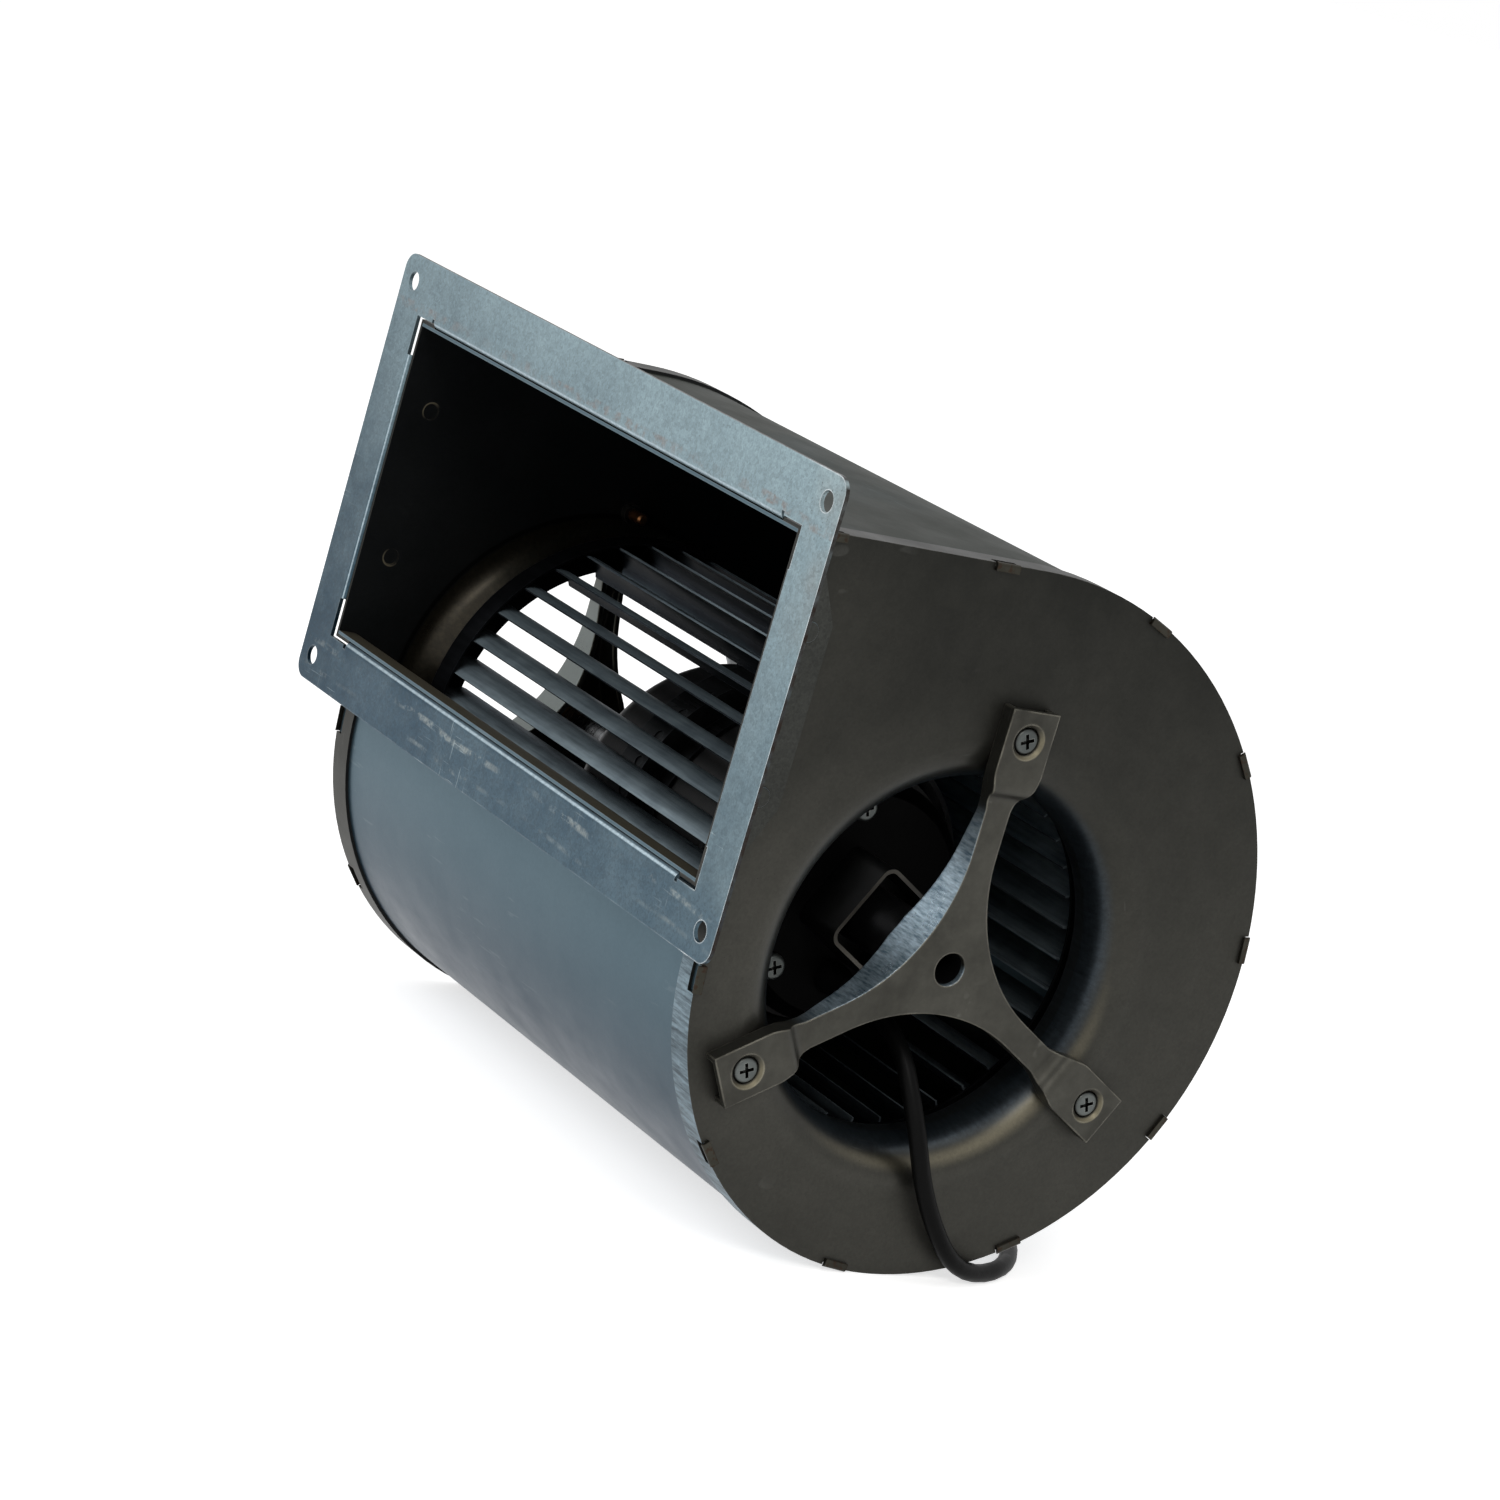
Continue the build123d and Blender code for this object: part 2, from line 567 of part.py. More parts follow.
for degrees in CAP_SCREW_ANGLES:
    stator_flange = stator_flange - rod(COLLAR_BORE_R, STATOR_FLANGE_X - 1, flange_near + 1,
                                        polar(CAP_SCREW_R, degrees))
save("stator_flange", stator_flange)

# Bearings, with the preload washer behind the far one
for name, start in (("bearing_right", NEAR_BEARING_X), ("bearing_left", FAR_BEARING_X)):
    end = start + BEARING_WIDTH
    bore = SHAFT_R + RUN_GAP
    bearing_points = [
        (bore, start),
        (bore + 1.7, start),
        (bore + 1.9, start + 0.6),
        (BEARING_R - 1.9, start + 0.6),
        (BEARING_R - 1.7, start),
        (BEARING_R, start),
        (BEARING_R, end),
        (BEARING_R - 1.7, end),
        (BEARING_R - 1.9, end - 0.6),
        (bore + 1.9, end - 0.6),
        (bore + 1.7, end),
        (bore, end),
    ]
    save(name, turned(bearing_points))
washer_from = far_seat_end
save("preload_washer", turned([
    (SHAFT_R + 2.5, washer_from),
    (BEARING_R - 0.4, washer_from),
    (BEARING_R - 0.4, washer_from + 0.7),
    (SHAFT_R + 2.5, washer_from + 0.7),
]))

# Stator core and windings
STATOR_R = ROTOR_CORE_BORE_R - AIR_GAP
stator_core = turned([
    (BUSH_R + SEAT_GAP, STACK_FAR_X),
    (STATOR_R, STACK_FAR_X),
    (STATOR_R, STACK_NEAR_X),
    (BUSH_R + SEAT_GAP, STACK_NEAR_X),
])
SLOT_OUT_R = STATOR_R - 2.2
stack = STACK_NEAR_X - STACK_FAR_X
slot_length = SLOT_OUT_R - STATOR_BACK_R
winding_fills = []
for number in range(STATOR_SLOTS):
    turn = Rot(0, 0, number * 360 / STATOR_SLOTS)
    middle = Pos((SLOT_OUT_R + STATOR_BACK_R) / 2, 0, STACK_FAR_X - 1)
    slot = Box(slot_length, SLOT_WIDTH, stack + 2, align=(Align.CENTER, Align.CENTER, Align.MIN))
    mouth = Box(6, 1.6, stack + 2, align=(Align.CENTER, Align.CENTER, Align.MIN))
    stator_core = stator_core - FAN * turn * middle * slot
    stator_core = stator_core - FAN * turn * Pos(STATOR_R, 0, STACK_FAR_X - 1) * mouth
    fill = Box(slot_length - 0.4, SLOT_WIDTH - 0.4, stack + 2, align=(Align.CENTER, Align.CENTER, Align.MIN))
    winding_fills.append(FAN * turn * middle * fill)
save("stator_core", stator_core)
head_in = BUSH_R + 2.5
head_out = SLOT_OUT_R - 0.4
windings = Part()
head_spans = (
    (STACK_FAR_X - WINDING_REACH, STACK_FAR_X - 0.3),
    (STACK_NEAR_X + 0.3, STACK_NEAR_X + WINDING_REACH),
)
for start, end in head_spans:
    coil_head = turned([(head_in, start), (head_out, start), (head_out, end), (head_in, end)])
    windings = windings + chamfer(coil_head.edges().filter_by(GeomType.CIRCLE), 2.0)
for fill in winding_fills:
    windings = windings + fill
save("stator_windings", windings)

# End cap over the stator's leads, with posts under its screws
cap_from = flange_near
cap_points = [
    (CAP_R, cap_from),
    (CAP_R, CAP_FACE_X - CAP_BEVEL),
    (CAP_R - CAP_BEVEL, CAP_FACE_X),
    (TUBE_R + 0.1, CAP_FACE_X),
    (TUBE_R + 0.1, CAP_FACE_X - CAP_T),
    (CAP_R - CAP_BEVEL - CAP_T / 2, CAP_FACE_X - CAP_T),
    (CAP_R - CAP_T, CAP_FACE_X - CAP_BEVEL - CAP_T / 2),
    (CAP_R - CAP_T, cap_from),
]
motor_end_cap = turned(cap_points)
GLAND_PLACE = (-1.0, -22.0)
for degrees in CAP_SCREW_ANGLES:
    place = polar(CAP_SCREW_R, degrees)
    motor_end_cap = motor_end_cap + rod(SCREW_R + 2, cap_from, CAP_FACE_X - CAP_T / 2, place)
    motor_end_cap = motor_end_cap - rod(SCREW_HOLE_R, cap_from - 1, CAP_FACE_X + 1, place)
motor_end_cap = motor_end_cap - rod(GLAND_TIP_R + 0.3, cap_from + 2, CAP_FACE_X + 1, GLAND_PLACE)
save("motor_end_cap", motor_end_cap)
cap_screws = []
for degrees in CAP_SCREW_ANGLES:
    place = polar(CAP_SCREW_R, degrees)
    screw = pan_screw(SCREW_HEAD_R, SCREW_HEAD_H, SCREW_R, CAP_DEPTH + STATOR_FLANGE_T)
    cap_screws.append(FAN * Pos(place[0], place[1], CAP_FACE_X) * screw)
save("motor_cap_screws", Compound(children=cap_screws))

# Support tube from the stator flange to the right spider's hub, and the square cup round it
save("motor_support_tube", turned([
    (TUBE_BORE_R, flange_near),
    (TUBE_FOOT_R, flange_near),
    (TUBE_FOOT_R, flange_near + TUBE_FOOT_T),
    (TUBE_R, flange_near + TUBE_FOOT_T),
    (TUBE_R, HUB_TOP - SPIDER_SHEET),
    (TUBE_BORE_R, HUB_TOP - SPIDER_SHEET),
]))


def square_prism(half, corner, x_from, x_to):
    """A rounded square along the fan axis, turned to the cup's angle."""
    face = Rot(0, 0, CUP_TURN) * RectangleRounded(2 * half, 2 * half, corner)
    return FAN * extrude(Pos(0, 0, x_from) * face, x_to - x_from)


cup_rim_x = CAP_FACE_X + CUP_DEPTH
cup = square_prism(CUP_HALF, CUP_CORNER_R, CAP_FACE_X, cup_rim_x)
cup = cup - square_prism(CUP_HALF - CUP_T, CUP_CORNER_R - CUP_T, CAP_FACE_X + CUP_T, cup_rim_x + 1)
cup = cup - rod(TUBE_R + 0.1, CAP_FACE_X - 1, CAP_FACE_X + CUP_DEPTH)
save("motor_bracket", cup)

# Rotor: can, laminated core, cast cage, shaft and ring
rim_in = ROTOR_R - ROTOR_T
arc_mid = math.sqrt(0.5)
can_edges = [
    Line((SHAFT_R + 0.02, ROTOR_FAR_X), (ROTOR_R - ROTOR_CORNER_R, ROTOR_FAR_X)),
    CenterArc((ROTOR_R - ROTOR_CORNER_R, ROTOR_FAR_X + ROTOR_CORNER_R), ROTOR_CORNER_R, -90, 90),
    Polyline((ROTOR_R, ROTOR_FAR_X + ROTOR_CORNER_R), (ROTOR_R, ROTOR_OPEN_X), (rim_in, ROTOR_OPEN_X),
             (rim_in, ROTOR_FAR_X + ROTOR_CORNER_R)),
    CenterArc((ROTOR_R - ROTOR_CORNER_R, ROTOR_FAR_X + ROTOR_CORNER_R), ROTOR_CORNER_R - ROTOR_T, 0, -90),
    Polyline((ROTOR_R - ROTOR_CORNER_R, ROTOR_FAR_X + ROTOR_T), (ROTOR_HUB_R, ROTOR_FAR_X + ROTOR_T),
             (ROTOR_HUB_R, ROTOR_FAR_X + ROTOR_HUB_DEPTH), (SHAFT_R + 0.02, ROTOR_FAR_X + ROTOR_HUB_DEPTH),
             (SHAFT_R + 0.02, ROTOR_FAR_X)),
]
can_face = make_face([Plane.XZ * edge for edge in can_edges])
rotor_can = FAN * revolve(can_face, Axis.Z)
for number in range(6):
    vent = Rot(0, 0, number * 60) * Pos(26, 0, ROTOR_FAR_X - 1) * SlotOverall(16, 6)
    rotor_can = rotor_can - FAN * extrude(vent, ROTOR_T + 2)
save("rotor_can", rotor_can)
rotor_core = turned([
    (ROTOR_CORE_BORE_R, STACK_FAR_X),
    (rim_in - SEAT_GAP, STACK_FAR_X),
    (rim_in - SEAT_GAP, STACK_NEAR_X),
    (ROTOR_CORE_BORE_R, STACK_NEAR_X),
])
bars = Part()
for number in range(CAGE_BARS):
    place = polar(CAGE_BAR_PCD_R, number * 360 / CAGE_BARS)
    rotor_core = rotor_core - rod(CAGE_BAR_R + SEAT_GAP, STACK_FAR_X - 1, STACK_NEAR_X + 1, place)
    bars = bars + rod(CAGE_BAR_R, STACK_FAR_X - 1, STACK_NEAR_X + 1, place)
save("rotor_core", rotor_core)
cage_in = CAGE_BAR_PCD_R - 4
cage_out = CAGE_BAR_PCD_R + 4
rotor_cage = bars
ring_spans = ((STACK_FAR_X - CAGE_RING_LENGTH, STACK_FAR_X), (STACK_NEAR_X, STACK_NEAR_X + CAGE_RING_LENGTH))
for start, end in ring_spans:
    rotor_cage = rotor_cage + turned([(cage_in, start), (cage_out, start), (cage_out, end), (cage_in, end)])
save("rotor_cage", rotor_cage)
shaft_near = near_seat_end + 4.5
shaft_far = -HUB_TOP - SHAFT_END_PROUD
ring_x = near_seat_end + 0.5
save("rotor_shaft", turned([
    (0, shaft_far),
    (SHAFT_R - 0.6, shaft_far),
    (SHAFT_R, shaft_far + 0.6),
    (SHAFT_R, ring_x - 0.05),
    (SHAFT_R - 0.6, ring_x - 0.05),
    (SHAFT_R - 0.6, ring_x + 1.05),
    (SHAFT_R, ring_x + 1.05),
    (SHAFT_R, shaft_near - 0.6),
    (SHAFT_R - 0.6, shaft_near),
    (0, shaft_near),
]))
retaining_ring = turned([
    (SHAFT_R - 0.55, ring_x),
    (SHAFT_R + 2.2, ring_x),
    (SHAFT_R + 2.2, ring_x + 1),
    (SHAFT_R - 0.55, ring_x + 1),
])
ring_mouth = Box(2 * SHAFT_R, 3.2, 3, align=(Align.MIN, Align.CENTER, Align.MIN))
save("shaft_retaining_ring", retaining_ring - FAN * Pos(SHAFT_R, 0, ring_x - 1) * ring_mouth)

# Flanged bush that steadies the shaft in the left spider
bush_x = -HUB_TOP
save("shaft_bush_left", turned([
    (SHAFT_R + RUN_GAP, bush_x),
    (SPIDER_HOLE_R - SEAT_GAP / 2, bush_x),
    (SPIDER_HOLE_R - SEAT_GAP / 2, bush_x + SPIDER_SHEET),
    (BUSH_FLANGE_R, bush_x + SPIDER_SHEET),
    (BUSH_FLANGE_R, bush_x + SPIDER_SHEET + BUSH_FLANGE_T),
    (SHAFT_R + RUN_GAP, bush_x + SPIDER_SHEET + BUSH_FLANGE_T),
]))

# Impeller: centre disc on the rotor, cupped blades and an end ring on each side
disc_in = ROTOR_R + 0.02
disc_out = BLADE_HEEL_R - SEAT_GAP
disc_near = DISC_X + DISC_T
impeller_disc = turned([
    (disc_in, DISC_X),
    (disc_out - DISC_COLLAR_WALL, DISC_X),
    (disc_out - DISC_COLLAR_WALL, DISC_X - DISC_COLLAR_DEPTH),
    (disc_out, DISC_X - DISC_COLLAR_DEPTH),
    (disc_out, disc_near),
    (disc_in + DISC_T, disc_near),
    (disc_in + DISC_T, disc_near + DISC_HUB_DEPTH),
    (disc_in, disc_near + DISC_HUB_DEPTH),
])
dimple_form = Cylinder(DISC_DIMPLE_R, 2 * DISC_DIMPLE_DEPTH)
for number in range(BLADE_COUNT):
    turn = Rot(0, 0, number * 360 / BLADE_COUNT + DISC_DIMPLE_TURN)
    dimple = turn * Pos(disc_out, 0, DISC_DIMPLE_X) * Rot(0, 90, 0) * dimple_form
    impeller_disc = impeller_disc - FAN * dimple
save("impeller_disc", impeller_disc)
half_length = IMPELLER_LENGTH / 2
for name, flip in (("impeller_ring_right", False), ("impeller_ring_left", True)):
    band_out = BLADE_TIP_R + SEAT_GAP + RING_T
    end_ring = turned([
        (RING_BORE_R, half_length - RING_T),
        (BLADE_TIP_R + SEAT_GAP, half_length - RING_T),
        (BLADE_TIP_R + SEAT_GAP, half_length - RING_BAND),
        (band_out, half_length - RING_BAND),
        (band_out, half_length),
        (RING_BORE_R, half_length),
    ])
    end_ring = fillet(end_ring.edges().filter_by(GeomType.CIRCLE).sort_by(SortBy.RADIUS)[-1], 0.5)
    save(name, left(end_ring) if flip else end_ring)


def circle_through(first, second, third):
    """Centre and radius of the circle through three points."""
    ax, ay = first
    bx, by = second
    cx, cy = third
    area = 2 * (ax * (by - cy) + bx * (cy - ay) + cx * (ay - by))
    a2, b2, c2 = ax * ax + ay * ay, bx * bx + by * by, cx * cx + cy * cy
    x = (a2 * (by - cy) + b2 * (cy - ay) + c2 * (ay - by)) / area
    y = (a2 * (cx - bx) + b2 * (ax - cx) + c2 * (bx - ax)) / area
    return (x, y), math.dist((x, y), first)


heel = polar(BLADE_HEEL_R, 0)
belly = polar(BLADE_BELLY_R, BLADE_BELLY_LEAN)
tip = polar(BLADE_TIP_R, BLADE_LEAN)
bow_centre, bow_r = circle_through(heel, belly, tip)


def moved_in(point):
    """A point of the blade's back moved to its hollow side, towards the bow's centre."""
    share = BLADE_T / bow_r
    return (point[0] + (bow_centre[0] - point[0]) * share, point[1] + (bow_centre[1] - point[1]) * share)


blade_edges = [
    ThreePointArc(heel, belly, tip),
    Line(tip, moved_in(tip)),
    ThreePointArc(moved_in(tip), moved_in(belly), moved_in(heel)),
    Line(moved_in(heel), heel),
]
blade_face = make_face(blade_edges)
blade_length = IMPELLER_LENGTH - 2 * RING_T
blade = extrude(Pos(0, 0, -blade_length / 2) * blade_face, blade_length)
blades = [FAN * Rot(0, 0, number * 360 / BLADE_COUNT) * blade for number in range(BLADE_COUNT)]
save("impeller_blades", Compound(children=blades))

# Cable gland on the end cap
gland_tip = CAP_FACE_X + GLAND_LENGTH
gland_body = Cone(GLAND_R, GLAND_TIP_R, GLAND_LENGTH - 2, align=(Align.CENTER, Align.CENTER, Align.MIN))
gland = FAN * Pos(GLAND_PLACE[0], GLAND_PLACE[1], CAP_FACE_X + 2) * gland_body
gland = gland + rod(GLAND_R, CAP_FACE_X, CAP_FACE_X + 2, GLAND_PLACE)
gland = gland + rod(GLAND_TIP_R, CAP_FACE_X - GLAND_INNER_LENGTH, CAP_FACE_X, GLAND_PLACE)
save("cable_gland", gland)

# Cable: out of the gland, over the bell mouth, down the side plate and away under the scroll
lead_y = AXIS_Y + GLAND_PLACE[0]
lead_z = AXIS_Z + GLAND_PLACE[1]
lying_z = FLOOR_Z + CABLE_R
lowest_y = AXIS_Y + FRONT_CENTRE[0]
cable_route = [
    (gland_tip, lead_y, lead_z),
    (gland_tip + 25.8, lead_y, lead_z),
    (HALF_OUTSIDE + 1.5, lowest_y - 1.7, -110.5),
    (HALF_OUTSIDE + 5.4, lowest_y + 6.8, -134.0),
    (HALF_OUTSIDE + 5.6, lowest_y + 25.9, lying_z),
    (HALF_OUTSIDE - 6.5, lowest_y + 56.4, lying_z),
    (62.0, lowest_y + 79.9, lying_z),
    (12.0, lowest_y + 91.4, lying_z),
    (-38.0, lowest_y + 94.9, lying_z),
    (COIL_X, COIL_Y - COIL_MEAN_R - 3 * CABLE_R - TIE_GAP, lying_z),
]
vectors = [Vector(*point) for point in cable_route]
runs = [(end - start) for start, end in zip(vectors, vectors[1:])]
radii = []
for before, after in zip(runs, runs[1:]):
    half_turn = math.radians(before.get_angle(after) / 2)
    radii.append(0.45 * min(before.length, after.length) / math.tan(half_turn))
print("cable radii", [round(radius, 1) for radius in radii])
print("cable runs", [round(run.length, 1) for run in runs])
cable_path = FilletPolyline(*cable_route, radius=radii)
start_plane = Plane(origin=cable_path @ 0, z_dir=cable_path % 0)
cable = sweep(start_plane * Circle(CABLE_R), path=cable_path)
section_volume = math.pi * CABLE_R ** 2 * cable_path.length
print("cable volume", round(cable.volume), "section times length", round(section_volume))
print("cable tube length", round(cable_path.length, 1))
tail_y = COIL_Y + COIL_MEAN_R + 3 * CABLE_R + TIE_GAP
tail_form = Cylinder(CABLE_R, TAIL_LENGTH, align=(Align.CENTER, Align.CENTER, Align.MIN))
tail = Pos(COIL_X, tail_y, lying_z) * Rot(0, 90, 0) * tail_form
save("power_cable", Compound(children=[cable, tail]))

coil_points = [
    (COIL_MEAN_R - 2 * CABLE_R, 0),
    (COIL_MEAN_R + 2 * CABLE_R, 0),
    (COIL_MEAN_R + 2 * CABLE_R, 4 * CABLE_R),
    (COIL_MEAN_R - 2 * CABLE_R, 4 * CABLE_R),
]
coil = revolve(make_face(Plane.XZ * Polyline(*coil_points, close=True)), Axis.Z)
coil = chamfer(coil.edges().filter_by(GeomType.CIRCLE), 0.6 * CABLE_R)
coil_floor = FLOOR_Z + TIE_GAP + TIE_T
save("cable_coil", Pos(COIL_X, COIL_Y, coil_floor) * coil)
tie_span = 4 * CABLE_R + 2 * TIE_GAP + 2 * TIE_T
band = Box(tie_span, TIE_WIDTH, tie_span)
tie_hole = Box(4 * CABLE_R + 2 * TIE_GAP, 2 * TIE_WIDTH, 4 * CABLE_R + 2 * TIE_GAP)
tie = Pos(COIL_X + COIL_MEAN_R, COIL_Y, coil_floor + 2 * CABLE_R) * (band - tie_hole)
save("coil_tie", tie)

# Four cores with ferrules at the cable's free end
wires = []
ferrules = []
spread = 1.25
for row, column in ((-1, -1), (-1, 1), (1, -1), (1, 1)):
    start = Pos(COIL_X + TAIL_LENGTH + WIRE_GAP, tail_y + row * spread, lying_z + column * spread)
    along = start * Rot(0, 90, 0) * Rot(-row * 4, 0, 0)
    wires.append(along * Cylinder(WIRE_R, WIRE_LENGTH, align=(Align.CENTER, Align.CENTER, Align.MIN)))
    sleeve = Cylinder(FERRULE_R, FERRULE_LENGTH, align=(Align.CENTER, Align.CENTER, Align.MIN))
    ferrules.append(along * Pos(0, 0, WIRE_LENGTH) * sleeve)
save("lead_wires", Compound(children=wires))
save("lead_ferrules", Compound(children=ferrules))
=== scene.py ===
import math

import bpy
from mathutils import Matrix, Vector


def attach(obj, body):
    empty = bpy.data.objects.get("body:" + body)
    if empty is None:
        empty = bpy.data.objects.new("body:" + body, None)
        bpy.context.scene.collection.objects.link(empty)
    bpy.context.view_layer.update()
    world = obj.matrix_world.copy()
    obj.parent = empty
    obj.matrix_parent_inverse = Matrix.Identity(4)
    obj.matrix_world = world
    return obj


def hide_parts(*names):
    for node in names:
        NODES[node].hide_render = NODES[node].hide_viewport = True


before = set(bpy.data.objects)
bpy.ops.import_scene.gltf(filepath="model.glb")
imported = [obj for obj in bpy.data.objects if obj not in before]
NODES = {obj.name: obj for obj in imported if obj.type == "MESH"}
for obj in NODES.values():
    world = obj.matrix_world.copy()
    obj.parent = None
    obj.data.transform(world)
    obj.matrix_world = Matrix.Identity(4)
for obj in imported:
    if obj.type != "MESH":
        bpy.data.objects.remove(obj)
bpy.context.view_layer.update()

# Sizes of the part that its looks and its lead go by, in metres
AXIS_Y, AXIS_Z = 0.0915, -0.0655  # the fan axis runs along X through this point
FLOOR_Z = -0.1586
FLANGE_HALF_X, FLANGE_HALF_Z = 0.13, 0.0685
BUTTON_Y, BUTTON_Z = 0.012, 0.0235  # the pressed buttons inside the duct
BUTTON_R = 0.0027
BELL_EDGE_R = 0.066
SPIDER_SCREW_R = 0.0691
SPIDER_SCREW_ANGLES = (90, 210, 330)
CORD_D = 0.0054


# Camera, as solved from the photograph

camera_data = bpy.data.cameras.new("camera")
camera = bpy.data.objects.new("camera", camera_data)
bpy.context.scene.collection.objects.link(camera)
bpy.context.scene.camera = camera
camera_data.lens = 108.579
camera_data.sensor_width = 36.0
camera_data.clip_end = 50.0
right = (0.501423, 0.819786, 0.276633)
up = (-0.319225, -0.12188, 0.939809)
back = (0.804159, -0.55955, 0.200582)
camera_turn = Matrix((right, up, back)).transposed().to_4x4()
camera.matrix_world = Matrix.Translation((1.08679, -0.67210, 0.23154)) @ camera_turn


# Node trees

class Tree:
    """A node tree, emptied, and short ways to fill it."""

    def __init__(self, tree):
        self.tree = tree
        self.tree.nodes.clear()

    def put(self, socket, value):
        """Links a socket to another one, or sets it to a plain value."""
        if isinstance(value, bpy.types.NodeSocket):
            self.tree.links.new(value, socket)
        else:
            socket.default_value = value

    def new(self, kind, **inputs):
        """A shader node, with some of its inputs put."""
        node = self.tree.nodes.new("ShaderNode" + kind)
        for name, value in inputs.items():
            self.put(node.inputs[name.replace("_", " ")], value)
        return node

    def math(self, operation, a, b=0.0, clamp=False):
        node = self.new("Math")
        node.operation = operation
        node.use_clamp = clamp
        self.put(node.inputs[0], a)
        self.put(node.inputs[1], b)
        return node.outputs[0]

    def add(self, *terms, clamp=False):
        """The sum of the terms, kept between 0 and 1 if clamped."""
        total = terms[0]
        for term in terms[1:-1]:
            total = self.math("ADD", total, term)
        return self.math("ADD", total, terms[-1], clamp)

    def minus(self, a, b):
        return self.math("SUBTRACT", a, b)

    def both(self, *shares):
        """All the shares multiplied."""
        product = shares[0]
        for share in shares[1:]:
            product = self.math("MULTIPLY", product, share)
        return product

    def most(self, a, b):
        return self.math("MAXIMUM", a, b)

    def size(self, value):
        return self.math("ABSOLUTE", value)

    def length(self, a, b):
        return self.math("SQRT", self.add(self.both(a, a), self.both(b, b)))

    def swing(self, noise, amount):
        """A noise moved to lie round zero, and scaled."""
        return self.both(self.minus(noise, 0.5), amount)

    def span(self, value, low, high, out_low=0.0, out_high=1.0, smooth=False):
        """A value moved from one range to another, and kept inside it."""
        node = self.new("MapRange", Value=value, From_Min=low, From_Max=high,
                        To_Min=out_low, To_Max=out_high)
        node.interpolation_type = "SMOOTHSTEP" if smooth else "LINEAR"
        return node.outputs["Result"]

    def near(self, value, middle, reach, soft):
        """1 within reach of the middle, fading to 0 over the soft distance."""
        away = self.size(self.minus(value, middle))
        return self.span(away, reach + soft, reach, smooth=True)


class Look(Tree):
    """One material: a principled shader, and nodes that know the part's places."""

    def __init__(self, name):
        self.material = bpy.data.materials.new(name)
        self.material.use_nodes = True
        super().__init__(self.material.node_tree)
        self.shader = self.new("BsdfPrincipled")
        self.tree.links.new(self.shader.outputs[0], self.new("OutputMaterial").inputs[0])
        self.place = self.new("TexCoord").outputs["Object"]

    def set(self, **values):
        for name, value in values.items():
            self.put(self.shader.inputs[name.replace("_", " ")], value)

    def mix(self, share, a, b, mode="MIX"):
        node = self.new("Mix")
        node.data_type = "RGBA"
        node.blend_type = mode
        self.put(node.inputs["Factor"], share)
        colour_inputs = [socket for socket in node.inputs if socket.type == "RGBA"]
        self.put(colour_inputs[0], a)
        self.put(colour_inputs[1], b)
        return [socket for socket in node.outputs if socket.type == "RGBA"][0]

    def stretched(self, scale, turn=(0, 0, 0)):
        """The place, scaled and turned, for noise that runs in one direction."""
        return self.new("Mapping", Vector=self.place, Scale=scale, Rotation=turn).outputs[0]

    def noise(self, scale, detail=3.0, roughness=0.55, vector=None):
        node = self.new("TexNoise", Vector=vector or self.place, Scale=scale, Detail=detail,
                        Roughness=roughness)
        return node.outputs["Fac"]

    def cells(self, scale, output="Color"):
        return self.new("TexVoronoi", Vector=self.place, Scale=scale).outputs[output]

    def grey(self, value):
        """One value as a colour."""
        node = self.new("CombineColor")
        for socket in node.inputs:
            self.put(socket, value)
        return node.outputs[0]

    def red_of(self, colour):
        node = self.new("SeparateColor")
        self.put(node.inputs[0], colour)
        return node.outputs[0]

    def split(self, vector, axis):
        return self.new("SeparateXYZ", Vector=vector).outputs[axis]

    def part(self, axis):
        """The place along one axis of the part, in metres."""
        return self.split(self.place, axis)

    def normal(self):
        return self.new("NewGeometry").outputs["Normal"]

    def facing(self, axis):
        """The surface's own direction along one axis, -1 to 1."""
        return self.split(self.normal(), axis)

    def radius(self):
        """Distance from the fan axis."""
        return self.length(self.minus(self.part(1), AXIS_Y), self.minus(self.part(2), AXIS_Z))

    def rounded(self, radius):
        """A normal that rounds off edges."""
        bevel = self.new("Bevel", Radius=radius)
        bevel.samples = 4
        return bevel.outputs[0]

    def edge(self, radius):
        """1 on edges, 0 on flat places."""
        dot = self.new("VectorMath")
        dot.operation = "DOT_PRODUCT"
        self.put(dot.inputs[0], self.rounded(radius))
        self.put(dot.inputs[1], self.normal())
        return self.span(dot.outputs["Value"], 0.995, 0.90)

    def hollow(self, distance):
        """1 in the open, 0 deep in corners."""
        node = self.new("AmbientOcclusion", Distance=distance)
        node.samples = 4
        return node.outputs["AO"]

    def bump(self, height, strength, distance, normal=None):
        node = self.new("Bump", Height=height, Strength=strength, Distance=distance)
        if normal is not None:
            self.put(node.inputs["Normal"], normal)
        return node.outputs[0]


def tone(red, green, blue):
    """A colour as it looks on a screen, 0 to 255, as linear light."""
    def linear(level):
        level = level / 255
        return level / 12.92 if level < 0.04045 else ((level + 0.055) / 1.055) ** 2.4
    return (linear(red), linear(green), linear(blue), 1.0)


# Dark for specks of dirt, and for the painted shade in corners
SPECK_AND_SHADE = tone(30, 28, 25)


# Looks of the zinc sheets

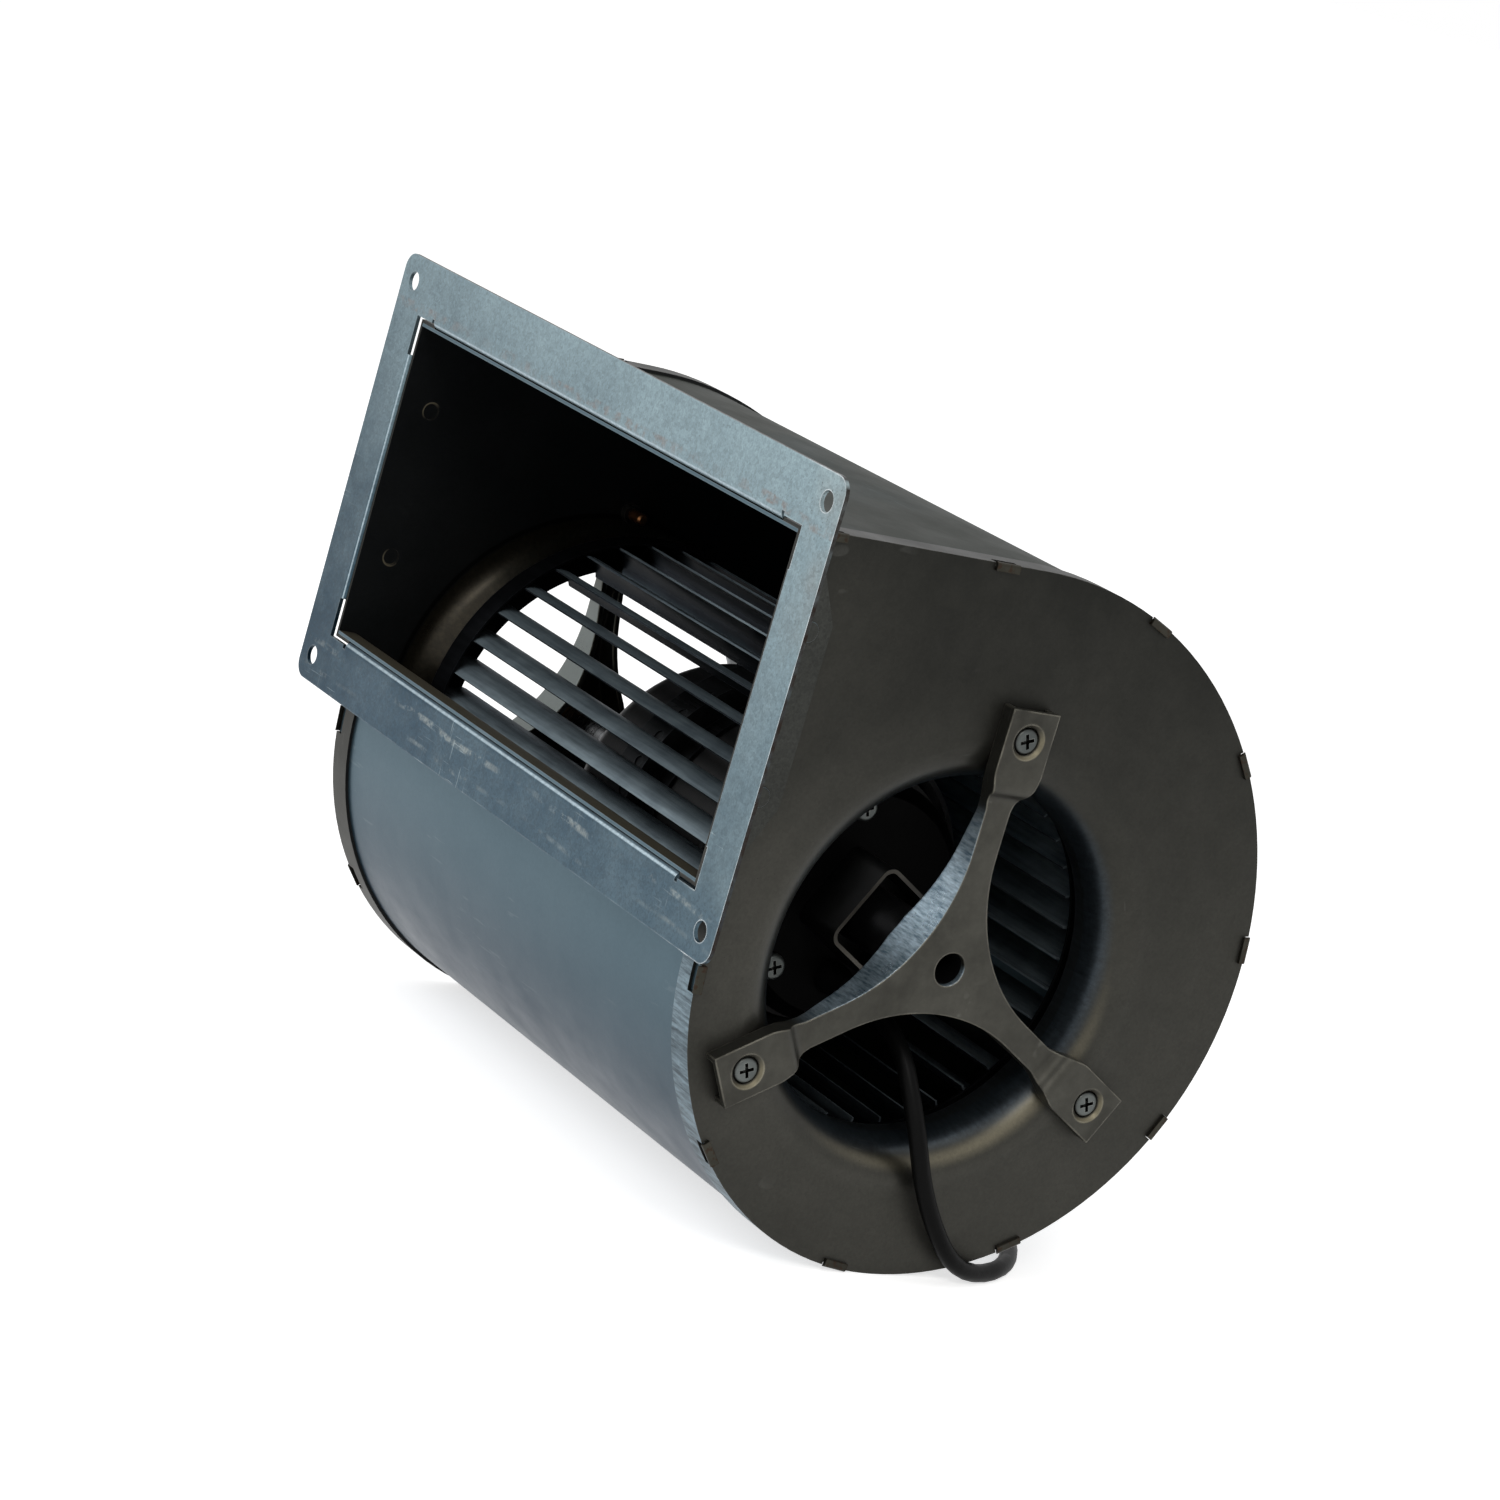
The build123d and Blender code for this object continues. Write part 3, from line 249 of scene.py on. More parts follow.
def sheet(t, colour, rough, edge_tone, edge_share=0.7, edge_radius=0.0005, grain=0.25, corner_shade=0.3,
          specks=0.5, soft=None, metal=0.75, wave=0.12, rounding=None):
    """Finishes a zinc sheet: grain, specks, edges lightened by wear and a painted highlight,
    painted shade in corners and a slight wave.
    """
    fine = t.noise(1500.0, 2.0, 0.6)
    cell = t.red_of(t.cells(1000.0))
    speckle = t.add(t.swing(fine, grain), t.swing(cell, grain * 0.35))
    colour = t.mix(1.0, colour, t.grey(t.add(1.0, speckle)), "MULTIPLY")
    dots = t.both(t.span(t.cells(380.0, "Distance"), 0.075, 0.03),
                  t.span(t.noise(30.0, 3.0, 0.7), 0.52, 0.66), specks)
    colour = t.mix(dots, colour, SPECK_AND_SHADE)
    # Edges lightened partly by wear and partly as a painted highlight
    wear_and_sheen = t.both(t.edge(edge_radius), t.span(t.noise(150.0, 3.0), 0.28, 0.58), edge_share)
    colour = t.mix(wear_and_sheen, colour, edge_tone)
    # Painted shade: darker in corners and hollows
    corner = t.both(t.span(t.hollow(0.006), 0.90, 0.30), corner_shade)
    colour = t.mix(corner, colour, SPECK_AND_SHADE)
    roughness = t.add(rough, t.swing(t.noise(55.0, 4.0, 0.6), 0.22))
    if soft is not None:
        roughness = t.add(roughness, soft)
    roughness = t.add(roughness, t.both(corner, 0.3))
    base = t.rounded(rounding) if rounding else None
    normal = t.bump(t.noise(12.0, 2.0, 0.4), wave, 0.003, base)
    height = t.add(t.both(cell, 0.06), t.both(fine, 0.12))
    t.set(Base_Color=colour, Metallic=metal, Roughness=roughness,
          Normal=t.bump(height, 0.3, 0.0002, normal))
    return t


def scratches(t, low, turn, along=(2.0, 60.0, 2.0), scale=30.0, patch=0.5):
    """1 on thin lines, which come in patches. A higher low leaves fewer of them."""
    lines = t.span(t.noise(scale, 2.0, 0.5, t.stretched(along, turn)), low, low + 0.03)
    return t.both(lines, t.span(t.noise(18.0, 2.0), patch, patch + 0.12))


def flange_sheet():
    """The outlet flange: bluish zinc with painted light, brighter towards the top and the right,
    with tape marks.
    """
    t = Look("zinc_sheet_flange")
    x, y, z = t.part(0), t.part(1), t.part(2)
    side, front, up = t.facing(0), t.facing(1), t.facing(2)
    beside, above = t.size(x), t.size(z)
    # Painted light and shade: darker low and to the left, brighter high and to the right, with a
    # random mottle
    rise = t.span(z, -FLANGE_HALF_Z, FLANGE_HALF_Z)
    across = t.span(x, -FLANGE_HALF_X, FLANGE_HALF_X)
    share = t.add(t.both(rise, rise, 0.60), t.both(rise, 0.04), t.both(across, 0.32),
                  t.swing(t.noise(24.0, 3.0, 0.55), 0.45),
                  t.swing(t.noise(120.0, 4.0, 0.7), 0.35), clamp=True)
    colour = t.mix(share, tone(20, 50, 66), tone(141, 161, 167))
    # Painted shade: the bottom strip darker and bluer, fading out at the left end
    low_strip_shade = t.both(t.span(z, -0.046, -0.056), t.span(x, -0.12, -0.08), 0.40)
    colour = t.mix(low_strip_shade, colour, tone(24, 58, 78))

    # Tape residue: broken, wavering lines along the strips
    waver = t.add(z, t.swing(t.noise(14.0, 2.0), 0.006))
    for middle, reach, depth in ((-0.0560, 0.0005, 0.50), (-0.0640, 0.0002, 0.30),
                                 (0.0535, 0.0010, 0.85)):
        band = t.both(t.near(waver, middle, reach, 0.0008),
                      t.span(t.noise(150.0, 4.0, 0.7), 0.47, 0.60),
                      t.span(t.noise(17.0, 2.0), 0.40, 0.60), depth)
        residue = t.mix(t.span(z, -0.01, 0.01), tone(158, 164, 160), tone(122, 106, 99))
        colour = t.mix(band, colour, residue)

    # Scratches and stains on the lower half, warm patches and pits at the upper right corner
    low = t.span(z, 0.02, -0.05)
    for low_cut, angle, along in ((0.665, (0.3, 0.4, 0.2), (3.0, 3.0, 70.0)),
                                  (0.675, (0.1, 1.1, 0.3), (60.0, 3.0, 3.0))):
        marks = t.both(scratches(t, low_cut, angle, along, 24.0, 0.52), low, 0.4)
        colour = t.mix(marks, colour, tone(170, 184, 188))
    stain = t.both(t.span(t.noise(50.0, 5.0, 0.7), 0.62, 0.74), low, 0.14)
    colour = t.mix(stain, colour, tone(140, 146, 142))
    warm = t.both(t.span(t.noise(35.0, 3.0), 0.46, 0.62), t.span(x, 0.112, 0.125),
                  t.span(z, -0.01, 0.05), 0.35)
    colour = t.mix(warm, colour, tone(120, 108, 96))
    pits = t.both(t.span(t.cells(700.0, "Distance"), 0.20, 0.12), t.span(x, 0.08, 0.12),
                  t.span(z, 0.04, 0.055), 0.5)
    colour = t.mix(pits, colour, tone(48, 52, 54))

    # Painted highlight on the bends into the duct; the lips' insides are streaked grey, painted
    # darker towards dull olive further into the duct
    bend_highlight = t.both(t.near(t.most(t.size(up), t.size(side)), 0.50, 0.06, 0.16),
                  t.span(front, -0.35, -0.55), 0.65)
    colour = t.mix(bend_highlight, colour, tone(176, 192, 200))
    inside = t.both(t.span(up, 0.72, 0.92), t.span(above, 0.0530, 0.0520))
    streak = t.span(t.noise(70.0, 4.0, 0.65, t.stretched((0.3, 6.0, 1.0))), 0.36, 0.66)
    lip_shaded = t.mix(streak, tone(58, 68, 74), tone(96, 108, 114))
    lip_shaded = t.mix(t.span(y, 0.0030, 0.0100, smooth=True), lip_shaded, tone(48, 48, 42))
    colour = t.mix(inside, colour, lip_shaded)

    # The wings' flat sides take the side plates' darker tone as painted shade, and the outer
    # sheared edges are rusty
    sideways = t.span(t.size(side), 0.6, 0.9)
    upright = t.span(t.size(up), 0.6, 0.9)
    wing_shade = t.both(t.span(y, 0.0013, 0.0018), t.span(beside, 0.1200, 0.1190), sideways)
    colour = t.mix(wing_shade, colour, t.mix(t.noise(40.0, 3.0), tone(38, 39, 36), tone(56, 57, 54)))
    rim = t.both(sideways, t.span(beside, FLANGE_HALF_X - 0.0015, FLANGE_HALF_X - 0.0005))
    end = t.both(upright, t.span(above, FLANGE_HALF_Z - 0.0013, FLANGE_HALF_Z - 0.0005))
    sheared = t.both(t.most(rim, end), t.span(t.noise(220.0, 3.0), 0.30, 0.60, 0.75, 1.0))
    colour = t.mix(sheared, colour, tone(34, 25, 19))
    # The front face's edges: wear and a painted highlight, strongest towards the right
    wear_and_sheen = t.both(t.span(front, -0.60, -0.95), t.span(x, 0.105, 0.118, 0.15, 1.0))
    return sheet(t, colour, 0.40, tone(218, 224, 226), edge_share=wear_and_sheen, edge_radius=0.0007,
                 grain=0.75, corner_shade=0.35)


def wrap_sheet():
    """The scroll's wrap, with painted light and shade: dark olive on top, bluish in front and
    below, and lock tabs in the side plates' dark tone.
    """
    t = Look("zinc_sheet_wrap")
    y, z = t.part(1), t.part(2)
    up, front = t.facing(2), t.facing(1)
    # Painted light and shade by facing and height: dark olive on upward faces, bluish in front
    # and below, darker and bluer lower down
    light_by_facing = t.span(t.add(up, t.both(front, 0.35)), 0.35, -0.15, smooth=True)
    belly_light_and_shade = t.mix(t.span(z, -0.075, -0.145, smooth=True), tone(74, 94, 104), tone(14, 44, 64))
    share = t.add(light_by_facing, t.swing(t.noise(20.0, 3.0, 0.5), 0.35), clamp=True)
    colour = t.mix(share, tone(20, 26, 19), belly_light_and_shade)
    tongue = t.both(t.span(y, 0.040, 0.030), t.span(z, -0.043, -0.048), t.span(up, 0.5, 0.9))
    colour = t.mix(tongue, colour, tone(62, 58, 48))
    # Painted light on the duct's downward-facing ceiling near the outlet
    ceiling_light = t.both(t.span(y, 0.088, 0.080), t.span(up, -0.5, -0.9), t.span(z, 0.040, 0.046))
    colour = t.mix(ceiling_light, colour, tone(120, 128, 132))
    # The lock tabs get the side plates' darker tone as painted shade, with real rust
    tab = t.span(t.size(t.part(0)), 0.1121, 0.1127)
    colour = t.mix(tab, colour, t.mix(t.noise(120.0), tone(40, 39, 34), tone(64, 62, 55)))
    rusty = t.both(tab, t.span(t.noise(500.0, 2.0), 0.52, 0.62), 0.7)
    colour = t.mix(rusty, colour, tone(50, 36, 26))
    lines = t.both(scratches(t, 0.67, (0.2, 0.1, 0.3)), 0.15)
    colour = t.mix(lines, colour, tone(130, 140, 146))
    flat_top = t.span(up, 0.75, 0.95)
    wear_and_sheen = t.mix(tab, tone(150, 158, 160), tone(34, 27, 21))
    t.set(Specular_IOR_Level=0.15)
    return sheet(t, colour, 0.36, wear_and_sheen, edge_share=t.span(tab, 0.0, 1.0, 0.3, 0.8),
                 grain=0.14, corner_shade=0.2, specks=0.35, soft=t.both(flat_top, 0.22),
                 metal=t.span(flat_top, 0.0, 1.0, 0.75, 0.35))


def plate_sheet():
    """The side plates: dark dull zinc, satin where the bell mouth is drawn, with painted light
    and shade, darker on top and inside.
    """
    t = Look("zinc_sheet_side")
    x, y, z = t.part(0), t.part(1), t.part(2)
    side, front, up = t.facing(0), t.facing(1), t.facing(2)
    radius = t.radius()
    blotch = t.add(t.noise(14.0, 2.0, 0.5), t.both(t.noise(90.0, 5.0, 0.7), 0.5))
    # Random blotches, plus painted light and shade: darker towards the top, lighter near the
    # mouth towards the front
    share = t.add(t.span(blotch, 0.45, 1.05, 0.0, 0.50), t.both(t.span(z, 0.05, -0.12), 0.55),
                  t.both(t.near(radius, 0.068, 0.005, 0.014), t.span(y, 0.10, 0.03), 0.25))
    colour = t.mix(share, tone(17, 18, 14), tone(58, 57, 52))
    outside = t.span(x, -0.001, 0.001, -1.0, 1.0)
    inward = t.span(t.both(side, outside), 0.05, -0.25)
    outward = t.minus(1.0, inward)

    # The turned rim: painted shade on top; brushed, with a bluish painted light where the right
    # plate's faces the front
    rim = t.span(radius, 0.074, 0.078)
    skyward_shade = t.both(t.span(up, 0.55, 0.85), rim, outward, 0.55)
    colour = t.mix(skyward_shade, colour, tone(17, 18, 14))
    turned = t.both(t.span(t.size(side), 0.80, 0.45), rim, t.span(front, 0.05, -0.45),
                    t.span(x, -0.01, 0.01), t.span(z, -0.067, -0.071))
    brushed = t.span(t.noise(60.0, 4.0, 0.65, t.stretched((1.5, 1.0, 12.0))), 0.36, 0.62)
    colour = t.mix(turned, colour, t.mix(brushed, tone(64, 77, 85), tone(126, 145, 155)))

    # The drawn mouth outside: a tan painted highlight low on the roll, and painted shade, dark
    # and bluish with drawn strokes, towards the throat
    lean = t.add(t.both(up, 0.85), t.both(front, -0.50))
    gleam_highlight = t.both(t.near(radius, 0.0618, 0.0010, 0.0036), t.span(lean, 0.20, 0.62, smooth=True),
                   t.span(t.noise(16.0, 2.0), 0.34, 0.58, 0.55, 1.0), outward, 0.9)
    strokes = t.noise(60.0, 3.0, 0.6, t.stretched((1.0, 14.0, 14.0)))
    throat_shade = t.both(t.span(radius, 0.0590, 0.0555, smooth=True), outward, 0.85)
    colour = t.mix(throat_shade, colour, t.mix(strokes, tone(24, 29, 34), tone(62, 72, 80)))
    colour = t.mix(gleam_highlight, colour, tone(118, 112, 94))

    # Inside: painted shade makes the flats nearly black; the tan roll round the mouth is a
    # painted highlight, behind a dark line of painted shade in the crease
    colour = t.mix(t.both(inward, 0.8), colour, tone(20, 23, 26))
    roll = t.both(t.span(radius, BELL_EDGE_R + 0.0008, BELL_EDGE_R - 0.0005, smooth=True), inward)
    colour = t.mix(roll, colour, t.mix(strokes, tone(26, 24, 20), tone(56, 51, 40)))
    crease_shade = t.both(t.near(radius, BELL_EDGE_R + 0.0013, 0.0004, 0.0006), inward)
    colour = t.mix(crease_shade, colour, tone(8, 8, 8))

    # The pressed buttons: a painted highlight on one side of each ring
    dy, dz = t.minus(y, BUTTON_Y), t.minus(t.size(z), BUTTON_Z)
    ring = t.both(t.near(t.length(dy, dz), BUTTON_R, 0.0002, 0.0003),
                  t.span(t.minus(dz, dy), -0.001, 0.003), inward)
    colour = t.mix(ring, colour, tone(128, 120, 100))
    lines = t.both(scratches(t, 0.68, (0.9, 0.5, 0.2), (50.0, 2.0, 3.0), 30.0, 0.56), 0.15)
    colour = t.mix(lines, colour, tone(110, 110, 106))
    soft = t.both(t.span(radius, 0.0690, 0.0650, smooth=True), -0.16)
    return sheet(t, colour, 0.48, tone(116, 114, 106), edge_share=0.2, grain=0.32, corner_shade=0.30,
                 specks=1.0, soft=soft)


def spider_sheet():
    """The spiders: warm dull grey faces, ground side flanges with a painted sheen, tan painted
    highlights at the screw seats.
    """
    t = Look("zinc_sheet_spider")
    y, z = t.part(1), t.part(2)
    front, up = t.facing(1), t.facing(2)
    blotch = t.add(t.both(t.noise(45.0, 4.0, 0.6), 0.7), t.both(t.noise(260.0, 3.0), 0.3))
    colour = t.mix(t.span(blotch, 0.32, 0.68), tone(47, 46, 41), tone(70, 69, 63))
    side = t.span(t.size(t.facing(0)), 0.75, 0.35)
    colour = t.mix(t.both(side, 0.6), colour, tone(60, 60, 55))

    # The long flange walls that face up and to the front are ground, with a painted sheen: bright
    # on the right spider, mid grey on the left
    lean = t.add(t.both(up, 0.75), t.both(front, -0.65))
    ground = t.noise(70.0, 4.0, 0.65, t.stretched((3.0, 16.0, 16.0)))
    ground_and_sheen = t.both(side, t.span(lean, 0.30, 0.80, smooth=True),
                    t.span(t.radius(), 0.052, 0.036, smooth=True))
    metal = t.mix(t.span(ground, 0.30, 0.66), tone(98, 124, 142), tone(202, 222, 234))
    metal = t.mix(t.span(t.part(0), -0.02, 0.02), tone(104, 110, 108), metal)
    colour = t.mix(ground_and_sheen, colour, metal)

    # Screw seats: a tan painted highlight on the side that faces the light
    for degrees in SPIDER_SCREW_ANGLES:
        angle = math.radians(degrees)
        dy = t.minus(y, AXIS_Y + SPIDER_SCREW_R * math.cos(angle))
        dz = t.minus(z, AXIS_Z + SPIDER_SCREW_R * math.sin(angle))
        low = t.span(t.minus(dy, dz), -0.001, 0.004)
        seat_highlight = t.both(t.near(t.length(dy, dz), 0.0048, 0.0003, 0.0005),
                      t.span(low, 0.0, 1.0, 0.12, 1.0), 0.50)
        colour = t.mix(seat_highlight, colour, tone(138, 130, 106))
    lines = t.both(scratches(t, 0.67, (0.4, 0.9, 0.1), (40.0, 3.0, 3.0), 40.0, 0.52), 0.18)
    colour = t.mix(lines, colour, tone(130, 130, 122))
    rusty = t.both(t.span(t.noise(170.0, 4.0, 0.7), 0.62, 0.70),
                   t.span(t.hollow(0.004), 0.95, 0.6), 0.5)
    colour = t.mix(rusty, colour, tone(96, 74, 52))
    return sheet(t, colour, 0.42, tone(158, 154, 140), edge_share=0.6, edge_radius=0.0008,
                 grain=0.14, corner_shade=0.35, specks=0.45, rounding=0.0010, soft=t.both(ground_and_sheen, -0.12))


def impeller_sheet(name, dark, light, edge_tone, edge_share=0.5, rough=0.34, shade=0.0):
    """The impeller's zinc. The shade sets a painted shade under the blades and between them."""
    t = Look(name)
    along = t.noise(50.0, 3.0, 0.6, t.stretched((1.0, 14.0, 14.0)))
    share = t.add(t.both(along, 0.6), t.both(t.noise(90.0, 3.0), 0.4))
    colour = t.mix(t.span(share, 0.35, 0.65), dark, light)
    under = t.most(t.span(t.facing(2), 0.15, -0.25, smooth=True),
                   t.span(t.hollow(0.012), 0.75, 0.25))
    colour = t.mix(t.both(under, shade), colour, tone(28, 30, 35))
    t.set(Specular_IOR_Level=0.15, Specular_Tint=tone(110, 116, 122))
    return sheet(t, colour, rough, edge_tone, edge_share=edge_share, edge_radius=0.0003,
                 grain=0.10, corner_shade=0.25, specks=0.3, metal=0.7, wave=0.05)


# Looks of the other materials

def plain_metal(name, dark, light, metal, rough, along=(1.0, 1.0, 1.0), line_strength=0.3,
                edge_light=None, corner_shade=0.5):
    """Turned, drawn or stacked metal with fine lines in one direction."""
    t = Look(name)
    lines = t.noise(60.0, 3.0, 0.6, t.stretched(along))
    blotch = t.add(t.both(t.noise(70.0, 4.0, 0.6), 0.6), t.both(lines, 0.4))
    colour = t.mix(t.span(blotch, 0.35, 0.65), dark, light)
    # Edges lightened partly by wear and partly as a painted highlight
    wear_and_sheen = t.both(t.edge(0.0004), t.span(t.noise(200.0, 2.0), 0.3, 0.6), 0.75)
    colour = t.mix(wear_and_sheen, colour, edge_light or light)
    # Painted shade: darker in corners and hollows
    corner = t.both(t.span(t.hollow(0.003), 0.95, 0.35), corner_shade)
    t.set(Base_Color=t.mix(corner, colour, tone(20, 17, 14)), Metallic=metal,
          Roughness=t.span(lines, 0.3, 0.7, rough - 0.06, rough + 0.08),
          Normal=t.bump(lines, line_strength, 0.0002))
    return t


def cup_metal():
    """The square cup: near-black sheet with a sheared rim, lighter towards the front as painted
    light.
    """
    t = Look("bracket_steel")
    blotch = t.noise(90.0, 4.0, 0.6)
    colour = t.mix(blotch, tone(7, 7, 7), tone(13, 13, 13))
    rim = t.both(t.span(t.part(0), 0.0806, 0.0808), t.span(t.facing(0), 0.6, 0.9))
    # Painted light: the sheared rim lighter towards the front, darker further back
    sheared = t.mix(t.span(t.part(1), 0.084, 0.100), tone(84, 81, 75), tone(38, 37, 34))
    t.set(Base_Color=t.mix(rim, colour, sheared), Metallic=0.6,
          Roughness=t.span(blotch, 0.3, 0.7, 0.38, 0.52),
          Normal=t.bump(t.noise(500.0, 2.0), 0.15, 0.0002))
    return t


def polymer(name, dark, light, rough, specular=0.4):
    """Rubber, plastic or enamel with fine grain and slight dust."""
    t = Look(name)
    blotch = t.noise(90.0, 4.0, 0.6)
    t.set(Base_Color=t.mix(t.span(blotch, 0.35, 0.7), dark, light),
          Roughness=t.span(blotch, 0.3, 0.7, rough - 0.06, rough + 0.08),
          Specular_IOR_Level=specular, Normal=t.bump(t.noise(700.0, 2.0), 0.2, 0.0002))
    return t


ALONG_AXIS = (40.0, 1.0, 1.0)  # noise that changes fast along the fan axis, like lathe marks
cable_rubber = polymer("cable_rubber", tone(5, 5, 5), tone(10, 10, 10), 0.42, specular=0.07)

LOOKS = (
    (flange_sheet(), "outlet_flange"),
    (wrap_sheet(), "scroll_wrap"),
    (plate_sheet(), "side_plate_left", "side_plate_right"),
    (spider_sheet(), "spider_left", "spider_right"),
    (impeller_sheet("zinc_sheet_impeller", tone(98, 109, 116), tone(134, 147, 153),
                    tone(132, 140, 146), rough=0.40, shade=0.9),
     "impeller_blades"),
    # Painted shade: the disc and the rings take dark copies of the blades' zinc
    (impeller_sheet("zinc_sheet_disc_shaded", tone(26, 27, 28), tone(40, 41, 42), tone(110, 116, 120)),
     "impeller_disc"),
    (impeller_sheet("zinc_sheet_ring_shaded", tone(13, 14, 15), tone(24, 25, 27), tone(70, 74, 78),
                    edge_share=0.4),
     "impeller_ring_left", "impeller_ring_right"),
    (plain_metal("screw_zinc", tone(70, 74, 73), tone(104, 108, 106), 0.8, 0.40,
                 edge_light=tone(140, 142, 138), corner_shade=0.95),
     "spider_screws_right", "motor_cap_screws"),
    (plain_metal("screw_passivated", tone(110, 72, 44), tone(150, 102, 64), 0.9, 0.36),
     "spider_screws_left"),
    (polymer("black_enamel", tone(4, 4, 4), tone(9, 9, 9), 0.50, specular=0.03),
     "motor_end_cap"),
    # The stator flange, cast aluminium, takes the dark lacquer as painted shade
    (plain_metal("rotor_lacquer", tone(17, 17, 18), tone(28, 28, 28), 0.5, 0.45, ALONG_AXIS),
     "rotor_can", "stator_flange"),
    # The support tube is darkened to near black as painted shade
    (plain_metal("turned_steel", tone(16, 16, 17), tone(30, 30, 32), 0.7, 0.42, ALONG_AXIS),
     "motor_support_tube"),
    (plain_metal("ground_steel", tone(120, 121, 122), tone(156, 158, 160), 0.95, 0.28,
                 ALONG_AXIS),
     "rotor_shaft"),
    (cup_metal(), "motor_bracket"),
    (plain_metal("laminations", tone(44, 44, 46), tone(70, 70, 72), 0.8, 0.45,
                 (90.0, 1.0, 1.0), line_strength=0.8),
     "rotor_core", "stator_core"),
    (plain_metal("cast_aluminium", tone(110, 112, 114), tone(140, 142, 144), 0.9, 0.42),
     "rotor_cage"),
    (plain_metal("enamelled_copper", tone(100, 46, 24), tone(156, 82, 44), 0.7, 0.35,
                 (1.0, 30.0, 30.0), line_strength=0.8),
     "stator_windings"),
    (plain_metal("bearing_steel", tone(160, 161, 164), tone(190, 191, 194), 1.0, 0.18,
                 (60.0, 1.0, 1.0)),
     "bearing_left", "bearing_right"),
    (plain_metal("spring_steel", tone(80, 75, 67), tone(106, 101, 90), 0.9, 0.34),
     "preload_washer", "shaft_retaining_ring"),
    (plain_metal("bush_bronze", tone(120, 90, 50), tone(150, 116, 70), 0.9, 0.45),
     "shaft_bush_left"),
    (cable_rubber, "power_cable", "cable_coil"),
    (polymer("gland_rubber", tone(7, 7, 8), tone(13, 13, 14), 0.62, specular=0.08),
     "cable_gland"),
    (polymer("tie_nylon", tone(14, 14, 15), tone(24, 24, 26), 0.45), "coil_tie"),
    (polymer("core_insulation", tone(70, 38, 22), tone(88, 50, 30), 0.5), "lead_wires"),
    (plain_metal("tinned_copper", tone(150, 150, 148), tone(180, 180, 178), 0.95, 0.3),
     "lead_ferrules"),
)
for look, *names in LOOKS:
    for name in names:
        NODES[name].data.materials.clear()
        NODES[name].data.materials.append(look.material)


# The lead: the route of the CAD tube, three and a half turns of coil, and the tail

LIE_Z = FLOOR_Z + CORD_D / 2
COIL_X, COIL_Y = -0.085, 0.2293

# Radius and height along the coil, by angle in degrees, in millimetres
TURN_RADII = ((-90, 38.3), (-150, 32.9), (-420, 32.9), (-480, 27.4), (-1140, 27.4),
              (-1200, 32.9), (-1316, 32.9))
TURN_HEIGHTS = ((-90, 2.7), (-130, 3.8), (-770, 3.8), (-840, 9.3), (-1316, 9.3))
COIL_STEP = 22

route = [
    (0.0735, 0.0905, -0.0875), (0.0993, 0.0905, -0.0875), (0.1145, 0.0954, -0.1105),
    (0.1184, 0.1039, -0.1340), (0.1186, 0.1230, LIE_Z), (0.1065, 0.1535, LIE_Z),
    (0.0620, 0.1770, LIE_Z), (0.0120, 0.1885, LIE_Z), (-0.0380, 0.1920, LIE_Z),
]
tail = [
    (-0.0925, 0.2648, FLOOR_Z + 0.0081), (-0.0800, 0.2684, FLOOR_Z + 0.0052),
    (-0.0680, 0.2680, FLOOR_Z + 0.0029), (-0.0550, 0.2676, LIE_Z),
]


def between(table, angle):
    """The value at an angle, along straight lines between the table's rows."""
    for (start, first), (end, last) in zip(table, table[1:]):
        if angle > end:
            break
    return first + (last - first) * (start - angle) / (start - end)


def coil_points():
    # The control points lie outside the curve that they pull
    outside = math.cos(math.radians(COIL_STEP / 2)) ** 0.98
    points = []
    for angle in range(-96, -1316, -COIL_STEP):
        radius = between(TURN_RADII, angle) / outside / 1000
        turn = math.radians(angle)
        points.append((COIL_X + radius * math.cos(turn), COIL_Y + radius * math.sin(turn),
                       FLOOR_Z + between(TURN_HEIGHTS, angle) / 1000))
    return points


def round_cord(name, points, diameter):
    """A round cord along one smooth curve."""
    data = bpy.data.curves.new(name, "CURVE")
    data.dimensions = "3D"
    data.bevel_depth = diameter / 2
    data.bevel_resolution = 5
    data.resolution_u = 6
    data.use_fill_caps = True
    spline = data.splines.new("NURBS")
    spline.points.add(len(points) - 1)
    for place, point in zip(spline.points, points):
        place.co = (*point, 1.0)
    spline.order_u = 3
    spline.use_endpoint_u = True
    piece = bpy.data.objects.new(name, data)
    bpy.context.scene.collection.objects.link(piece)
    return piece


lead = round_cord("lead_cord", route + coil_points() + tail, CORD_D)
lead.data.materials.append(cable_rubber.material)
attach(lead, "housing")
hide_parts("power_cable", "cable_coil")


# Floor, world and lights

